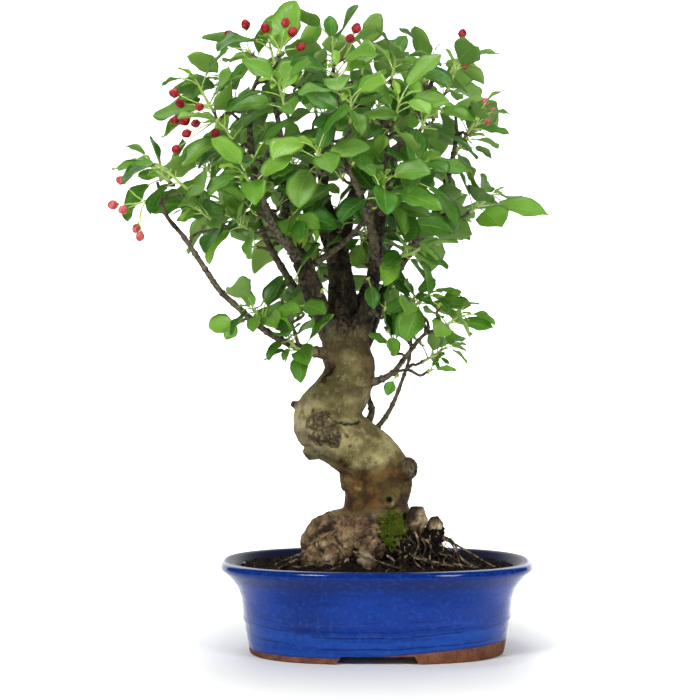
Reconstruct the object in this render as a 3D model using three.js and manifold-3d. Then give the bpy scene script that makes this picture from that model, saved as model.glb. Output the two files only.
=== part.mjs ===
// A crabapple grown as a bonsai in an oval glazed pot, in spring leaf with its flower buds closed.
// Millimetres, +Z up, the front towards -Y. Every place below is measured from the middle of the
// pot on the ground; at the end the whole plant is moved so that its own box stands on the origin.

import * as THREE from "three";
import { mergeVertices } from "three/addons/utils/BufferGeometryUtils.js";
import Module from "manifold-3d";

const wasm = await Module();
wasm.setup();

const TOUCH_GAP = 0.3; // what two touching pieces keep between them

// The pot: a superellipse in plan, and each level is stepped in from the rim all round.
const POT = {
  halfLength: 130,
  halfDepth: 108,
  squareness: 2.5,
  sides: 32,
  height: 75.6,
  floorTop: 14,
  footHeight: 6.5,
  footWidth: 14,
  archHalf: 34,
  archSlant: 5,
  drainRadius: 11,
  drainAt: 46,
};
// [height, step in from the rim's edge], up the outside and then down the inside
const POT_OUTSIDE = [
  [0, 24.4],
  [12, 22.3],
  [26, 20.4],
  [30, 19.2],
  [46, 17.4],
  [55, 14],
  [62, 8.6],
  [67, 3.4],
  [70, 0.5],
  [74, 0],
  [POT.height, 1.7],
];
const POT_INSIDE = [
  [POT.height, 9.8],
  [74, 11.2],
  [56, 22],
  [20, 29.5],
  [POT.floorTop, 33],
];
const SCREEN = { side: 32, thick: 1.2, window: 11, pitch: 14, windows: 2 };
const SOIL = { edge: 68.5, mound: 9, spread: 62, rings: [0.72, 0.4] };

// Trunk, as [x, y, z, radius] along its heart: up from the roots to the elbow, then back to the crown.
const TRUNK_LOWER = [
  [-2, 2, 52, 26],
  [-2, 2, 72, 34],
  [-1, 1, 90, 33],
  [0, 0, 109, 28.6],
  [0, 0, 126, 26.6],
  [3, 0, 141, 27.5],
  [-2, -1, 155, 26],
  [-15, -3, 167, 25],
  [-30, -5, 178, 26],
  [-43, -6, 186, 26.4],
  [-52, -7, 190, 20],
];
const TRUNK_UPPER = [
  [-48, -6, 182, 18],
  [-43, -5, 198, 23.6],
  [-31, -2, 211, 23.4],
  [-25, 0, 223, 22.8],
  [-23, 2, 235, 22.2],
  [-25, 3, 247, 21],
  [-28, 5, 261, 18.6],
  [-31, 7, 280, 14],
];
// Roots that swell out of the foot of the trunk: [bearing in degrees, reach, radius at the trunk].
const FLARE = [
  [222, 56, 15],
  [262, 56, 15],
  [300, 57, 12],
  [338, 62, 12],
  [12, 56, 13],
  [58, 52, 13],
  [104, 54, 14],
  [150, 58, 13],
];
// The old root that bulges on the left, as a route like the trunk's.
const BULGE = [
  [-12, 0, 104, 18],
  [-34, -10, 98, 20],
  [-46, -14, 88, 18.5],
  [-50, -14, 68, 13],
];
// Thin roots that lie over the soil.
const SURFACE_ROOTS = [
  [[30, -22, 104, 3.4], [34, -34, 92, 2.6], [30, -50, 80, 2.2], [38, -66, 73, 1.8]],
  [[40, -6, 100, 3.2], [62, -12, 92, 2.6], [70, -26, 78, 2.2], [84, -40, 71, 1.7]],
  [[12, -24, 94, 3.4], [32, -46, 81, 2.6], [58, -46, 75, 2.2], [84, -22, 71, 1.8]],
  [[42, 8, 98, 3], [68, 8, 86, 2.4], [84, 2, 77, 2], [98, -16, 70, 1.7]],
  [[-34, -16, 104, 3.6], [-32, -42, 94, 2.8], [-12, -54, 84, 2.4], [18, -62, 74, 2]],
  [[-36, -12, 92, 3.6], [-62, -20, 82, 2.6], [-78, -36, 72, 1.8]],
];
const STUMPS = [
  [[14, -2, 150, 11], [24, -3, 153, 9.6], [34, -4, 156, 8.2]],
  [[22, -16, 90, 9], [33, -20, 104, 8.4], [38, -20, 113, 7.4]],
  [[34, -8, 82, 9], [47, -10, 95, 8.4], [53, -10, 103, 6.4]],
  [[-58, -6, 200, 6], [-66, -7, 203, 5], [-71, -8, 205, 3]],
  [[-48, -12, 164, 6], [-56, -14, 162, 5], [-61, -15, 161, 3]],
];
const BURR = [
  [[-44, -20, 186, 13], [-45, -27, 186, 12.5], [-46, -31.5, 186, 8]],
  [[-34, -18, 190, 8], [-33, -26, 191, 7], [-33, -29, 191, 3.6]],
  [[9, -14, 126, 9], [10, -26, 126, 7.6], [10, -28.5, 126, 4.2]],
];

// Limbs and branches that carry the crown.
const BRANCHES = {
  leftLimb: [
    [-32, -2, 256, 12.4],
    [-45, -8, 278, 9.4],
    [-54, -12, 301, 8.8],
    [-62, -16, 323, 7.8],
    [-73, -19, 340, 6],
    [-88, -24, 360, 4.4],
    [-97, -28, 378, 3.6],
    [-102, -34, 405, 2.9],
    [-104, -38, 433, 2.4],
    [-104, -40, 457, 1.8],
  ],
  leftUpright: [
    [-72, -18, 338, 4],
    [-76, -4, 372, 3.2],
    [-77, 6, 407, 2.8],
    [-83, 10, 445, 2.2],
    [-92, 12, 484, 1.6],
  ],
  leader: [
    [-30, 5, 262, 16.4],
    [-29, 10, 289, 13],
    [-30, 14, 315, 10.6],
    [-33, 16, 337, 9],
    [-39, 18, 360, 7],
    [-45, 16, 384, 5.4],
    [-42, 10, 412, 4.2],
    [-36, 4, 443, 3.3],
    [-34, 0, 460, 2.4],
    [-38, -2, 474, 1.6],
  ],
  innerRight: [
    [-31, 16, 330, 7.6],
    [-25, 24, 358, 6.2],
    [-18, 32, 386, 5.2],
    [-7, 36, 414, 4.3],
    [7, 34, 440, 3.4],
    [13, 30, 466, 2.2],
  ],
  topRight: [
    [-18, 32, 386, 4.4],
    [6, 46, 405, 3.8],
    [25, 44, 433, 3.2],
    [40, 30, 462, 2.4],
    [48, 16, 478, 1.7],
  ],
  rightLimb: [
    [-16, 2, 256, 9],
    [-6, -5, 290, 6.6],
    [-1, -12, 324, 5.8],
    [2, -20, 354, 5],
    [5, -30, 378, 3.8],
    [9, -40, 402, 3],
    [6, -52, 430, 2],
  ],
  farRight: [
    [-12, 8, 252, 7.6],
    [0, 24, 282, 5.4],
    [11, 36, 307, 4.6],
    [28, 44, 334, 4.2],
    [46, 46, 358, 3.8],
    [57, 42, 382, 3.2],
    [64, 30, 408, 2.4],
    [68, 12, 432, 1.7],
  ],
  slantTwig: [
    [-59, -14, 316, 3],
    [-24, -28, 341, 2.3],
    [-2, -44, 366, 1.7],
  ],
  lowLeft: [
    [-36, -6, 246, 6.4],
    [-57, -22, 250, 4],
    [-76, -34, 257, 3.4],
    [-94, -44, 268, 3.1],
    [-111, -52, 283, 2.9],
    [-127, -56, 298, 2.8],
    [-140, -58, 317, 2.6],
    [-156, -57, 341, 2.3],
    [-171, -54, 360, 1.9],
    [-178, -51, 386, 1.4],
  ],
  lowRight: [
    [-14, 0, 221, 5.6],
    [2, -9, 225, 3.6],
    [14, -14, 232, 2.7],
    [25, -22, 246, 2.4],
    [38, -30, 262, 1.8],
    [50, -37, 267, 1.4],
  ],
  backRight: [
    [-12, 14, 170, 5],
    [1, 22, 184, 3.2],
    [12, 25, 200, 2.7],
    [21, 18, 222, 2.2],
    [28, 8, 245, 1.9],
    [29, -4, 268, 1.5],
  ],
  backStub: [
    [-16, 12, 178, 5.4],
    [-4, 20, 196, 3.6],
    [-8, 32, 214, 2.6],
  ],
  backLimb: [
    [-29, 14, 290, 7.4],
    [-37, 44, 325, 5],
    [-47, 68, 361, 4],
    [-55, 80, 402, 2.9],
    [-55, 80, 440, 1.8],
  ],
  backRightLimb: [
    [-20, 12, 276, 6.6],
    [-3, 48, 312, 4.6],
    [13, 66, 348, 3.6],
    [20, 78, 388, 2.8],
    [8, 80, 434, 1.8],
  ],
  backLeftLimb: [
    [-34, 14, 252, 5.6],
    [-54, 52, 282, 4],
    [-78, 68, 316, 3.2],
    [-98, 72, 354, 2.4],
    [-104, 72, 388, 1.6],
  ],
  frontLeft: [
    [-61, -16, 322, 5],
    [-72, -46, 336, 3.8],
    [-86, -64, 354, 3],
    [-94, -76, 386, 2.2],
    [-84, -74, 416, 1.6],
  ],
  frontMiddle: [
    [-1, -12, 324, 4.2],
    [-4, -56, 346, 3.4],
    [-14, -80, 374, 2.7],
    [-28, -92, 402, 1.8],
  ],
};
const BRANCH_SIDES = 5;
const LIMB_SIDES = 6; // for branches thicker than LIMB_RADIUS at the start
const LIMB_RADIUS = 7;
const STATIONS = 12; // from one point of a branch's route to the next

// Where the woody spurs end, each with one leafy shoot.
const SHOOT_TIPS = [
  [-99, 8, 478],
  [-82, -40, 478],
  [-63, 38, 480],
  [-36, 0, 486],
  [-32, -54, 458],
  [-12, 42, 484],
  [12, -22, 472],
  [40, 30, 476],
  [58, -14, 464],
  [-134, -22, 446],
  [-120, 42, 460],
  [-116, -60, 418],
  [-73, -74, 440],
  [-52, 80, 458],
  [-22, -92, 428],
  [13, -76, 432],
  [2, 76, 458],
  [35, -52, 428],
  [50, 64, 450],
  [74, -18, 428],
  [-150, -70, 377],
  [-168, -46, 386],
  [-138, 34, 398],
  [-106, 76, 410],
  [-98, -92, 378],
  [-70, 96, 408],
  [-46, -102, 394],
  [-20, 100, 420],
  [24, 94, 412],
  [0, -96, 368],
  [27, -74, 383],
  [68, 42, 418],
  [-128, -54, 352],
  [-104, -44, 348],
  [-60, -40, 247],
  [-65, 88, 352],
  [-117, 70, 362],
  [4, -48, 364],
  [78, 22, 366],
  [19, -44, 326],
  [48, 78, 352],
  [27, -30, 284],
  [56, -38, 270],
  [38, 0, 240],
  [-91, -48, 274],
  [-66, -32, 282],
];
// Leaves whose tips come to a place of their own: the number of the shoot, then each leaf's tip.
const AIMED_LEAVES = {
  1: [[-134, 2, 504]],
  2: [[-66, -34, 536]],
  4: [[-40, 10, 531]],
  6: [[-9, 54, 520]],
  7: [[24, -12, 511]],
  8: [[52, 26, 503]],
  9: [[92, -18, 484]],
  10: [[-189, -26, 446]],
  20: [[110, -20, 428]],
  22: [[-206, -62, 412]],
  33: [[-149, -54, 333]],
  35: [[-73, -38, 230]],
  39: [[147, 24, 364], [108, 8, 346]],
  41: [[95, 70, 338]],
  42: [[4, -36, 300], [14, -38, 258], [10, -34, 318]],
  43: [[95, -42, 268], [66, -40, 303]],
  44: [[66, -6, 233], [13, -8, 213]],
  45: [[-114, -50, 302], [-132, -52, 270], [-64, -50, 258]],
  46: [[-50, -36, 262], [-86, -34, 306]],
};
// Flower buds: the spur that carries them, and where each bud hangs.
const UMBELS = [
  {
    foot: [-131, -38, 450],
    buds: [[-165, -42, 459], [-161, -30, 452], [-144, -50, 447], [-165, -34, 438], [-156, -46, 436]],
  },
  {
    foot: [-126, -54, 438],
    buds: [[-146, -64, 432], [-154, -54, 425], [-130, -66, 424], [-162, -60, 412]],
  },
  { foot: [-102, -14, 494], buds: [[-108, -22, 518], [-122, -14, 511], [-128, -6, 502]] },
  {
    foot: [-80, -58, 486],
    buds: [[-90, -66, 508], [-74, -62, 513], [-68, -72, 504], [-62, -60, 494]],
  },
  {
    foot: [-29, -30, 488],
    buds: [[-17, -34, 513], [-22, -46, 503], [-7, -36, 500], [-8, -24, 490], [-19, -42, 490]],
  },
  {
    foot: [60, 8, 480],
    buds: [[72, 6, 515], [78, 14, 505], [69, -2, 499], [81, 2, 494], [74, -6, 487]],
  },
  {
    foot: [-182, -64, 372],
    buds: [[-206, -66, 386], [-213, -58, 367], [-203, -74, 362], [-194, -60, 348], [-190, -70, 341]],
  },
  { foot: [80, -6, 434], buds: [[90, -10, 456], [97, -4, 449], [93, 4, 441]] },
  { foot: [-30, 92, 446], buds: [[-36, 108, 466], [-24, 114, 460], [-40, 116, 452], [-20, 112, 446]] },
];
const CROWN_CORE = new THREE.Vector3(-28, 0, 350);
const SPUR = { tipRadius: 1.15, leastRadius: 1.3, mostRadius: 3 };
const STEM = { radius: 1.3, shortest: 12, longest: 26 };
const LEAF = {
  shortest: 28,
  longest: 43,
  halfWidth: 0.29, // of its length
  thick: 1.5, // at the midrib
  petiole: 0.65, // half the width of the stalk
  tries: 14,
  fewest: 6,
  most: 8,
  aimedBend: 0.5,
  aimedRoll: 0.85,
  aimedStalk: 0.26, // of stalk and blade together
};
const LOW = { below: 300, scale: 0.9, lift: 1.1 }; // the small leaves of the low twigs
const BUD = { radius: 4.3, pedicel: 0.7, length: 10.5, knob: 1.8 };
const GOLDEN_ANGLE = Math.PI * (3 - Math.sqrt(5));

const UP = new THREE.Vector3(0, 0, 1);
const vector = ([x, y, z]) => new THREE.Vector3(x, y, z);

// The same draw of numbers in [0, 1) for the same seed.
function seeded(seed) {
  let state = seed;
  return () => {
    state = (state * 48271) % 2147483647;
    return state / 2147483647;
  };
}

// ---------------------------------------------------------------- solids

function solidOf(vertices, triangles) {
  return new wasm.Manifold(
    new wasm.Mesh({
      numProp: 3,
      vertProperties: new Float32Array(vertices),
      triVerts: new Uint32Array(triangles),
    }),
  );
}

function solidOfGeometry(geometry) {
  geometry.deleteAttribute("normal");
  geometry.deleteAttribute("uv");
  const merged = mergeVertices(geometry, 1e-4);
  return solidOf(merged.attributes.position.array, merged.index.array);
}

// A closed surface put together from rings of points, each counter-clockwise round the way it goes.
class Shell {
  constructor() {
    this.points = [];
    this.triangles = [];
  }
  ring(points) {
    return points.map((point) => this.points.push(point) - 1);
  }
  // Walls from ring a to ring b, which has as many points, twice as many, or one at a tip.
  join(a, b) {
    const next = (ring, j) => ring[(j + 1) % ring.length];
    a.forEach((from, j) => {
      const to = next(a, j);
      if (b.length === 1) this.triangles.push([from, to, b[0]]);
      else if (b.length === a.length)
        this.triangles.push([from, to, next(b, j)], [from, next(b, j), b[j]]);
      else {
        const [first, middle, last] = [b[2 * j], b[2 * j + 1], next(b, 2 * j + 1)];
        this.triangles.push([from, to, middle], [from, middle, first], [to, last, middle]);
      }
    });
    return b;
  }
  // A fan over a ring, facing back where turned is true.
  close(ring, turned) {
    const middle = ring.reduce((sum, i) => sum.add(this.points[i]), new THREE.Vector3());
    const [centre] = this.ring([middle.divideScalar(ring.length)]);
    ring.forEach((from, j) => {
      const to = ring[(j + 1) % ring.length];
      this.triangles.push(turned ? [centre, to, from] : [centre, from, to]);
    });
  }
  // Lets a branch grow out of one triangle, through rings that start with one of three points.
  sprout(index, rings) {
    const middle = (points) =>
      points.reduce((sum, p) => sum.add(p), new THREE.Vector3()).divideScalar(points.length);
    const corners = this.triangles[index];
    const arms = (points) => points.map((p) => p.clone().sub(middle(points)));
    const out = arms(rings[0]);
    const foot = arms(corners.map((i) => this.points[i]));
    const match = (turn) => foot.reduce((sum, arm, j) => sum + arm.dot(out[(j + turn) % 3]), 0);
    const turn = [0, 1, 2].reduce((best, t) => (match(t) > match(best) ? t : best));
    this.triangles[index] = null;
    let last = corners.map((_, j) => corners[(j + 3 - turn) % 3]);
    for (const ring of rings) last = this.join(last, this.ring(ring));
  }
  solid() {
    return solidOf(
      this.points.flatMap((p) => [p.x, p.y, p.z]),
      this.triangles.filter((triangle) => triangle).flat(),
    );
  }
}

function loft(rings) {
  const shell = new Shell();
  const made = rings.map((ring) => shell.ring(ring));
  shell.close(made[0], true);
  made.slice(1).forEach((ring, i) => shell.join(made[i], ring));
  shell.close(made.at(-1), false);
  return shell.solid();
}

const smooth = (points) =>
  new THREE.CatmullRomCurve3(points.map(vector), false, "catmullrom", 0.5);

// The radius that belongs to parameter t of the curve through the same points.
function radiusAt(points, t) {
  const at = t * (points.length - 1);
  const i = Math.min(Math.floor(at), points.length - 2);
  return THREE.MathUtils.lerp(points[i][3], points[i + 1][3], at - i);
}

// A rod of changing radius along points. relief(u, angle) shapes its bark, and grow fattens and
// lengthens it, for the hole that it stands in.
function rod(points, sides, steps, { relief = () => 1, grow = 0 } = {}) {
  const curve = smooth(points);
  const frames = curve.computeFrenetFrames(steps, false);
  const rings = frames.tangents.map((tangent, i) => {
    const t = curve.getUtoTmapping(i / steps);
    const stretch = i === 0 ? -grow : i === steps ? grow : 0;
    const centre = curve.getPoint(t).addScaledVector(tangent, stretch);
    return Array.from({ length: sides }, (_, j) => {
      const angle = (2 * Math.PI * j) / sides;
      const r = radiusAt(points, t) * relief(i / steps, angle) + grow;
      return centre
        .clone()
        .addScaledVector(frames.normals[i], r * Math.cos(angle))
        .addScaledVector(frames.binormals[i], r * Math.sin(angle));
    });
  });
  return loft(rings);
}

// ---------------------------------------------------------------- pot, soil and screens

function ovalRing(step, z, scale = 1) {
  const power = 2 / POT.squareness;
  const along = (value) => Math.sign(value) * Math.abs(value) ** power;
  return Array.from({ length: POT.sides }, (_, j) => {
    const angle = (2 * Math.PI * (j + 0.5)) / POT.sides;
    const x = (POT.halfLength - step) * along(Math.cos(angle)) * scale;
    const y = (POT.halfDepth - step) * along(Math.sin(angle)) * scale;
    return new THREE.Vector3(x, y, typeof z === "function" ? z(x, y) : z);
  });
}

function drainHole(x) {
  const hole = new THREE.CylinderGeometry(POT.drainRadius, POT.drainRadius, 4 * POT.floorTop, 20);
  return solidOfGeometry(hole.rotateX(Math.PI / 2).translate(x, 0, 0));
}

// The gap between the feet, through the front and the back of the foot ring.
function footArch() {
  const shape = new THREE.Shape([
    new THREE.Vector2(-POT.archHalf - 1, -1),
    new THREE.Vector2(POT.archHalf + 1, -1),
    new THREE.Vector2(POT.archHalf - POT.archSlant, POT.footHeight),
    new THREE.Vector2(-POT.archHalf + POT.archSlant, POT.footHeight),
  ]);
  const length = 2 * POT.halfDepth;
  const arch = new THREE.ExtrudeGeometry(shape, { depth: length, bevelEnabled: false });
  return solidOfGeometry(arch.translate(0, 0, -length / 2).rotateX(Math.PI / 2));
}

function makePot() {
  const walls = [...POT_OUTSIDE, ...POT_INSIDE].map(([z, step]) => ovalRing(step, z));
  const footStep = POT_OUTSIDE[0][1] + POT.footWidth;
  const hollowFoot = loft([ovalRing(footStep, -1), ovalRing(footStep, POT.footHeight)]);
  return loft(walls)
    .subtract(hollowFoot)
    .subtract(footArch())
    .subtract(drainHole(-POT.drainAt))
    .subtract(drainHole(POT.drainAt));
}

function soilHeight(x, y) {
  const mound = SOIL.mound * Math.exp(-(x * x + y * y) / SOIL.spread ** 2);
  return SOIL.edge + mound + 0.6 * Math.sin(x / 9) * Math.cos(y / 7);
}

function makeSoil(buried) {
  const wall = POT_INSIDE.slice(2).reverse();
  const sides = wall.map(([z, step], i) =>
    ovalRing(step + TOUCH_GAP, i === 0 ? z + TOUCH_GAP : z),
  );
  const [[highZ, highStep], [lowZ, lowStep]] = [POT_INSIDE[1], POT_INSIDE[2]];
  const share = (SOIL.edge - lowZ) / (highZ - lowZ);
  const edgeStep = THREE.MathUtils.lerp(lowStep, highStep, share) + 2 * TOUCH_GAP;
  const top = [1, ...SOIL.rings].map((scale) => ovalRing(edgeStep, soilHeight, scale));
  const screens = [-POT.drainAt, POT.drainAt].map((x) => {
    const side = SCREEN.side + 2 * TOUCH_GAP;
    const deep = 2 * (SCREEN.thick + 2 * TOUCH_GAP);
    return solidOfGeometry(new THREE.BoxGeometry(side, side, deep).translate(x, 0, POT.floorTop));
  });
  return loft([...sides, ...top]).subtract(buried).subtract(screens[0]).subtract(screens[1]);
}

// The mesh square that keeps the soil out of a drain hole.
function makeScreen(x) {
  const box = (side, high, dx = 0, dy = 0) => {
    const z = POT.floorTop + TOUCH_GAP + SCREEN.thick / 2;
    return solidOfGeometry(new THREE.BoxGeometry(side, side, high).translate(x + dx, dy, z));
  };
  const steps = Array.from(
    { length: SCREEN.windows },
    (_, i) => (i - (SCREEN.windows - 1) / 2) * SCREEN.pitch,
  );
  const windows = steps.flatMap((dx) => steps.map((dy) => box(SCREEN.window, 9, dx, dy)));
  return windows.reduce((plate, hole) => plate.subtract(hole), box(SCREEN.side, SCREEN.thick));
}

// ---------------------------------------------------------------- wood

const trunkRelief = (u, angle) =>
  1 + 0.05 * Math.sin(3 * angle + 9 * u) + 0.035 * Math.sin(5 * angle - 17 * u);

function flareRoot([bearing, reach, radius], grow) {
  const a = THREE.MathUtils.degToRad(bearing);
  const at = (r, z, size) => [r * Math.cos(a), 0.86 * r * Math.sin(a), z, size];
  const points = [
    at(0.14 * reach, 112, radius),
    at(0.52 * reach, 96, 0.95 * radius),
    at(0.82 * reach, 82, 0.72 * radius),
    at(1.05 * reach, 66, 0.42 * radius),
  ];
  return rod(points, 6, 4, { grow });
}

// What stands in the soil, fattened by grow.
function rootedWood(grow) {
  const trunk = rod(TRUNK_LOWER, 12, 13, { relief: trunkRelief, grow });
  const flare = FLARE.map((root) => flareRoot(root, grow));
  const bulge = rod(BULGE, 9, 5, { relief: trunkRelief, grow });
  const thin = SURFACE_ROOTS.map((points) => rod(points, 4, 5, { grow }));
  const stumps = STUMPS.slice(1, 3).map((points) => rod(points, 6, 2, { grow }));
  return wasm.Manifold.union([trunk, bulge, ...flare, ...thin, ...stumps]);
}

// Points along every branch, as { point, tangent, radius }.
const BRANCH_STATIONS = Object.values(BRANCHES).flatMap((points) => {
  const curve = smooth(points);
  const count = STATIONS * (points.length - 1);
  return Array.from({ length: count + 1 }, (_, i) => ({
    point: curve.getPoint(i / count),
    tangent: curve.getTangent(i / count),
    radius: radiusAt(points, i / count),
  }));
});

// The way a shoot grows at tip: out of the crown, and up.
function growthAt(tip, lift) {
  const out = tip.clone().sub(CROWN_CORE).normalize();
  return out.addScaledVector(UP, lift).normalize();
}

// A woody spur from the nearest branch below tip, which it reaches along growth.
function spurPoints(tip, growth) {
  const cost = (s) => s.point.distanceTo(tip) + 1.2 * Math.max(0, s.point.z + 6 - tip.z);
  const foot = BRANCH_STATIONS.reduce((best, s) => (cost(s) < cost(best) ? s : best));
  const length = foot.point.distanceTo(tip);
  const bend = foot.point
    .clone()
    .lerp(tip, 0.35)
    .addScaledVector(foot.tangent, 0.12 * length);
  const neck = tip.clone().addScaledVector(growth, -Math.min(8, 0.3 * length));
  const thick = THREE.MathUtils.clamp(0.5 * foot.radius, SPUR.leastRadius, SPUR.mostRadius);
  const middle = (thick + SPUR.tipRadius) / 2;
  return [
    [...foot.point, thick],
    [...bend, middle],
    [...neck, SPUR.tipRadius],
    [...tip, SPUR.tipRadius],
  ];
}

function makeWood(spurs) {
  const upper = rod(TRUNK_UPPER, 11, 9, { relief: trunkRelief });
  const knobs = [STUMPS[0], ...STUMPS.slice(3), ...BURR].map((points) => rod(points, 6, 2));
  const branches = Object.values(BRANCHES).map((points) => {
    const sides = points[0][3] > LIMB_RADIUS ? LIMB_SIDES : BRANCH_SIDES;
    return rod(points, sides, points.length - 1);
  });
  const twigs = spurs.map((points) => rod(points, 3, 2));
  return wasm.Manifold.union([rootedWood(0), upper, ...knobs, ...branches, ...twigs]);
}

// ---------------------------------------------------------------- room between the leaves

// Balls that stand for what is already placed, kept in a grid of cells.
class Room {
  constructor(cell) {
    this.cell = cell;
    this.balls = new Map();
  }
  key(x, y, z) {
    return [x, y, z].map((value) => Math.floor(value / this.cell)).join();
  }
  fill(points, radius, owner, isStalk = false) {
    points.forEach((point) => {
      const key = this.key(point.x, point.y, point.z);
      if (!this.balls.has(key)) this.balls.set(key, []);
      this.balls.get(key).push({ point, radius, owner, isStalk });
    });
  }
  // True where balls of this radius meet none that is there. Beside its owner's own blades and
  // stalks it needs only these shares of the room.
  isFree(points, radius, owner, besideBlade, besideStalk) {
    const tooNear = (p) => (ball) => {
      const own = ball.isStalk ? besideStalk : besideBlade;
      const share = ball.owner === owner ? own : 1;
      return ball.point.distanceTo(p) < share * (ball.radius + radius);
    };
    const steps = [-this.cell, 0, this.cell];
    return points.every((p) => {
      for (const dx of steps)
        for (const dy of steps)
          for (const dz of steps) {
            const near = this.balls.get(this.key(p.x + dx, p.y + dy, p.z + dz)) ?? [];
            if (near.some(tooNear(p))) return false;
          }
      return true;
    });
  }
}

function fillWithRod(room, points, owner, slack) {
  const curve = smooth(points);
  const count = STATIONS * (points.length - 1);
  for (let i = 0; i <= count; i++)
    room.fill([curve.getPoint(i / count)], radiusAt(points, i / count) + slack, owner);
}

// ---------------------------------------------------------------- leaves and buds

// How wide a blade is at s of its length, as a share of its widest: oval with a short point.
const bladeWidth = (s) => Math.sin(Math.PI * s ** 0.88) ** 0.72;

// A leaf's middle line arches over in the upright plane of its heading.
class LeafForm {
  constructor({ foot, heading, rise, bend, stalk, length, roll }) {
    Object.assign(this, { foot, heading, rise, bend, stalk, length, roll });
  }
  direction(u) {
    const rise = this.rise - this.bend * u;
    const flat = Math.cos(rise);
    return new THREE.Vector3(
      flat * Math.cos(this.heading),
      flat * Math.sin(this.heading),
      Math.sin(rise),
    );
  }
  // The middle line at u of stalk and blade together.
  middle(u) {
    const steps = 12;
    const point = this.foot.clone();
    for (let i = 0; i < steps; i++)
      point.addScaledVector(
        this.direction((u * (i + 0.5)) / steps),
        (u * (this.stalk + this.length)) / steps,
      );
    return point;
  }
  // The point at s of the blade, t half widths to its left and lift above it.
  at(s, t, lift = 0, halfWidth = this.length * LEAF.halfWidth * bladeWidth(s)) {
    const u = (this.stalk + s * this.length) / (this.stalk + this.length);
    const ahead = this.direction(u);
    const level = new THREE.Vector3(-Math.sin(this.heading), Math.cos(this.heading), 0);
    const upright = ahead.clone().cross(level);
    const side = level.clone().multiplyScalar(Math.cos(this.roll));
    side.addScaledVector(upright, Math.sin(this.roll));
    const normal = ahead.clone().cross(side);
    return this.middle(u).addScaledVector(side, t * halfWidth).addScaledVector(normal, lift);
  }
  // Three points for each section: the blade's two edges and the keel of its midrib.
  rings() {
    const section = (s, halfWidth) => [
      this.at(s, 1, 0, halfWidth),
      this.at(s, -1, 0, halfWidth),
      this.at(s, 0, -LEAF.thick, halfWidth),
    ];
    const blade = [0.2, 0.52, 0.84].map((s) => section(s));
    return [section(0, LEAF.petiole), ...blade, [this.at(1, 0, -LEAF.thick / 3)]];
  }
  blade() {
    const points = [this.at(0.98, 0)];
    for (const s of [0.1, 0.24, 0.38, 0.52, 0.66, 0.8, 0.92])
      for (const t of [-0.9, -0.45, 0, 0.45, 0.9]) points.push(this.at(s, t));
    return points;
  }
  stalkPoints() {
    const total = this.stalk + this.length;
    return [0.25, 0.5, 0.75, 1].map((share) => this.middle((share * this.stalk) / total));
  }
}
const BLADE_ROOM = 2.9;
const STALK_ROOM = 1.2;

// One leaf at foot, turned round the stem's growth by turn and leaning out from it by lean. It
// turns its upper face out of the crown: it droops where it heads outwards, stands up where it
// heads inwards, and rolls where it heads to a side.
function leafForm(foot, growth, turn, lean, scale, random) {
  const way = growth.clone().multiplyScalar(Math.cos(lean));
  way.addScaledVector(armAround(growth, turn), Math.sin(lean));
  const heading = Math.atan2(way.y, way.x);
  const out = foot.clone().sub(CROWN_CORE).setZ(0).normalize();
  const outward = out.x * Math.cos(heading) + out.y * Math.sin(heading);
  const toLeft = out.y * Math.cos(heading) - out.x * Math.sin(heading);
  const length = scale * THREE.MathUtils.lerp(LEAF.shortest, LEAF.longest, random());
  return new LeafForm({
    foot,
    heading,
    rise: Math.min(1.35, Math.asin(way.z) * 0.7 + 0.25 + 0.5 * Math.max(0, -outward)),
    bend: 0.45 + 0.5 * random() + 0.6 * Math.max(0, outward),
    stalk: length * (0.3 + 0.14 * random()),
    length,
    roll: -0.85 * toLeft + (random() - 0.5) * 0.8,
  });
}

// The leaf from foot whose tip comes to aim, with its face rolled to the front.
function aimedLeaf(foot, aim, random) {
  const way = aim.clone().sub(foot);
  const heading = Math.atan2(way.y, way.x);
  const bend = LEAF.aimedBend;
  const reach = way.length() / (1 - bend ** 2 / 24);
  return new LeafForm({
    foot,
    heading,
    rise: Math.asin(way.z / way.length()) + bend / 2,
    bend,
    stalk: LEAF.aimedStalk * reach,
    length: (1 - LEAF.aimedStalk) * reach,
    roll: LEAF.aimedRoll * Math.cos(heading) + (random() - 0.5) * 0.3,
  });
}

// Gives each aim the place on the stem that faces it best, in a list by place.
function placesFor(aims, tip, growth, turns) {
  const places = [];
  aims.map(vector).forEach((aim) => {
    const way = aim.clone().sub(tip).normalize();
    const facing = (i) => (places[i] ? -2 : armAround(growth, turns[i]).dot(way));
    const best = turns.reduce((chosen, _, i) => (facing(i) > facing(chosen) ? i : chosen), 0);
    places[best] = aim;
  });
  return places;
}

// An arm square to growth, turned round it.
function armAround(growth, turn) {
  const across = growth.clone().cross(new THREE.Vector3(1, 0, 0)).normalize();
  return across.applyAxisAngle(growth, turn);
}

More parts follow.
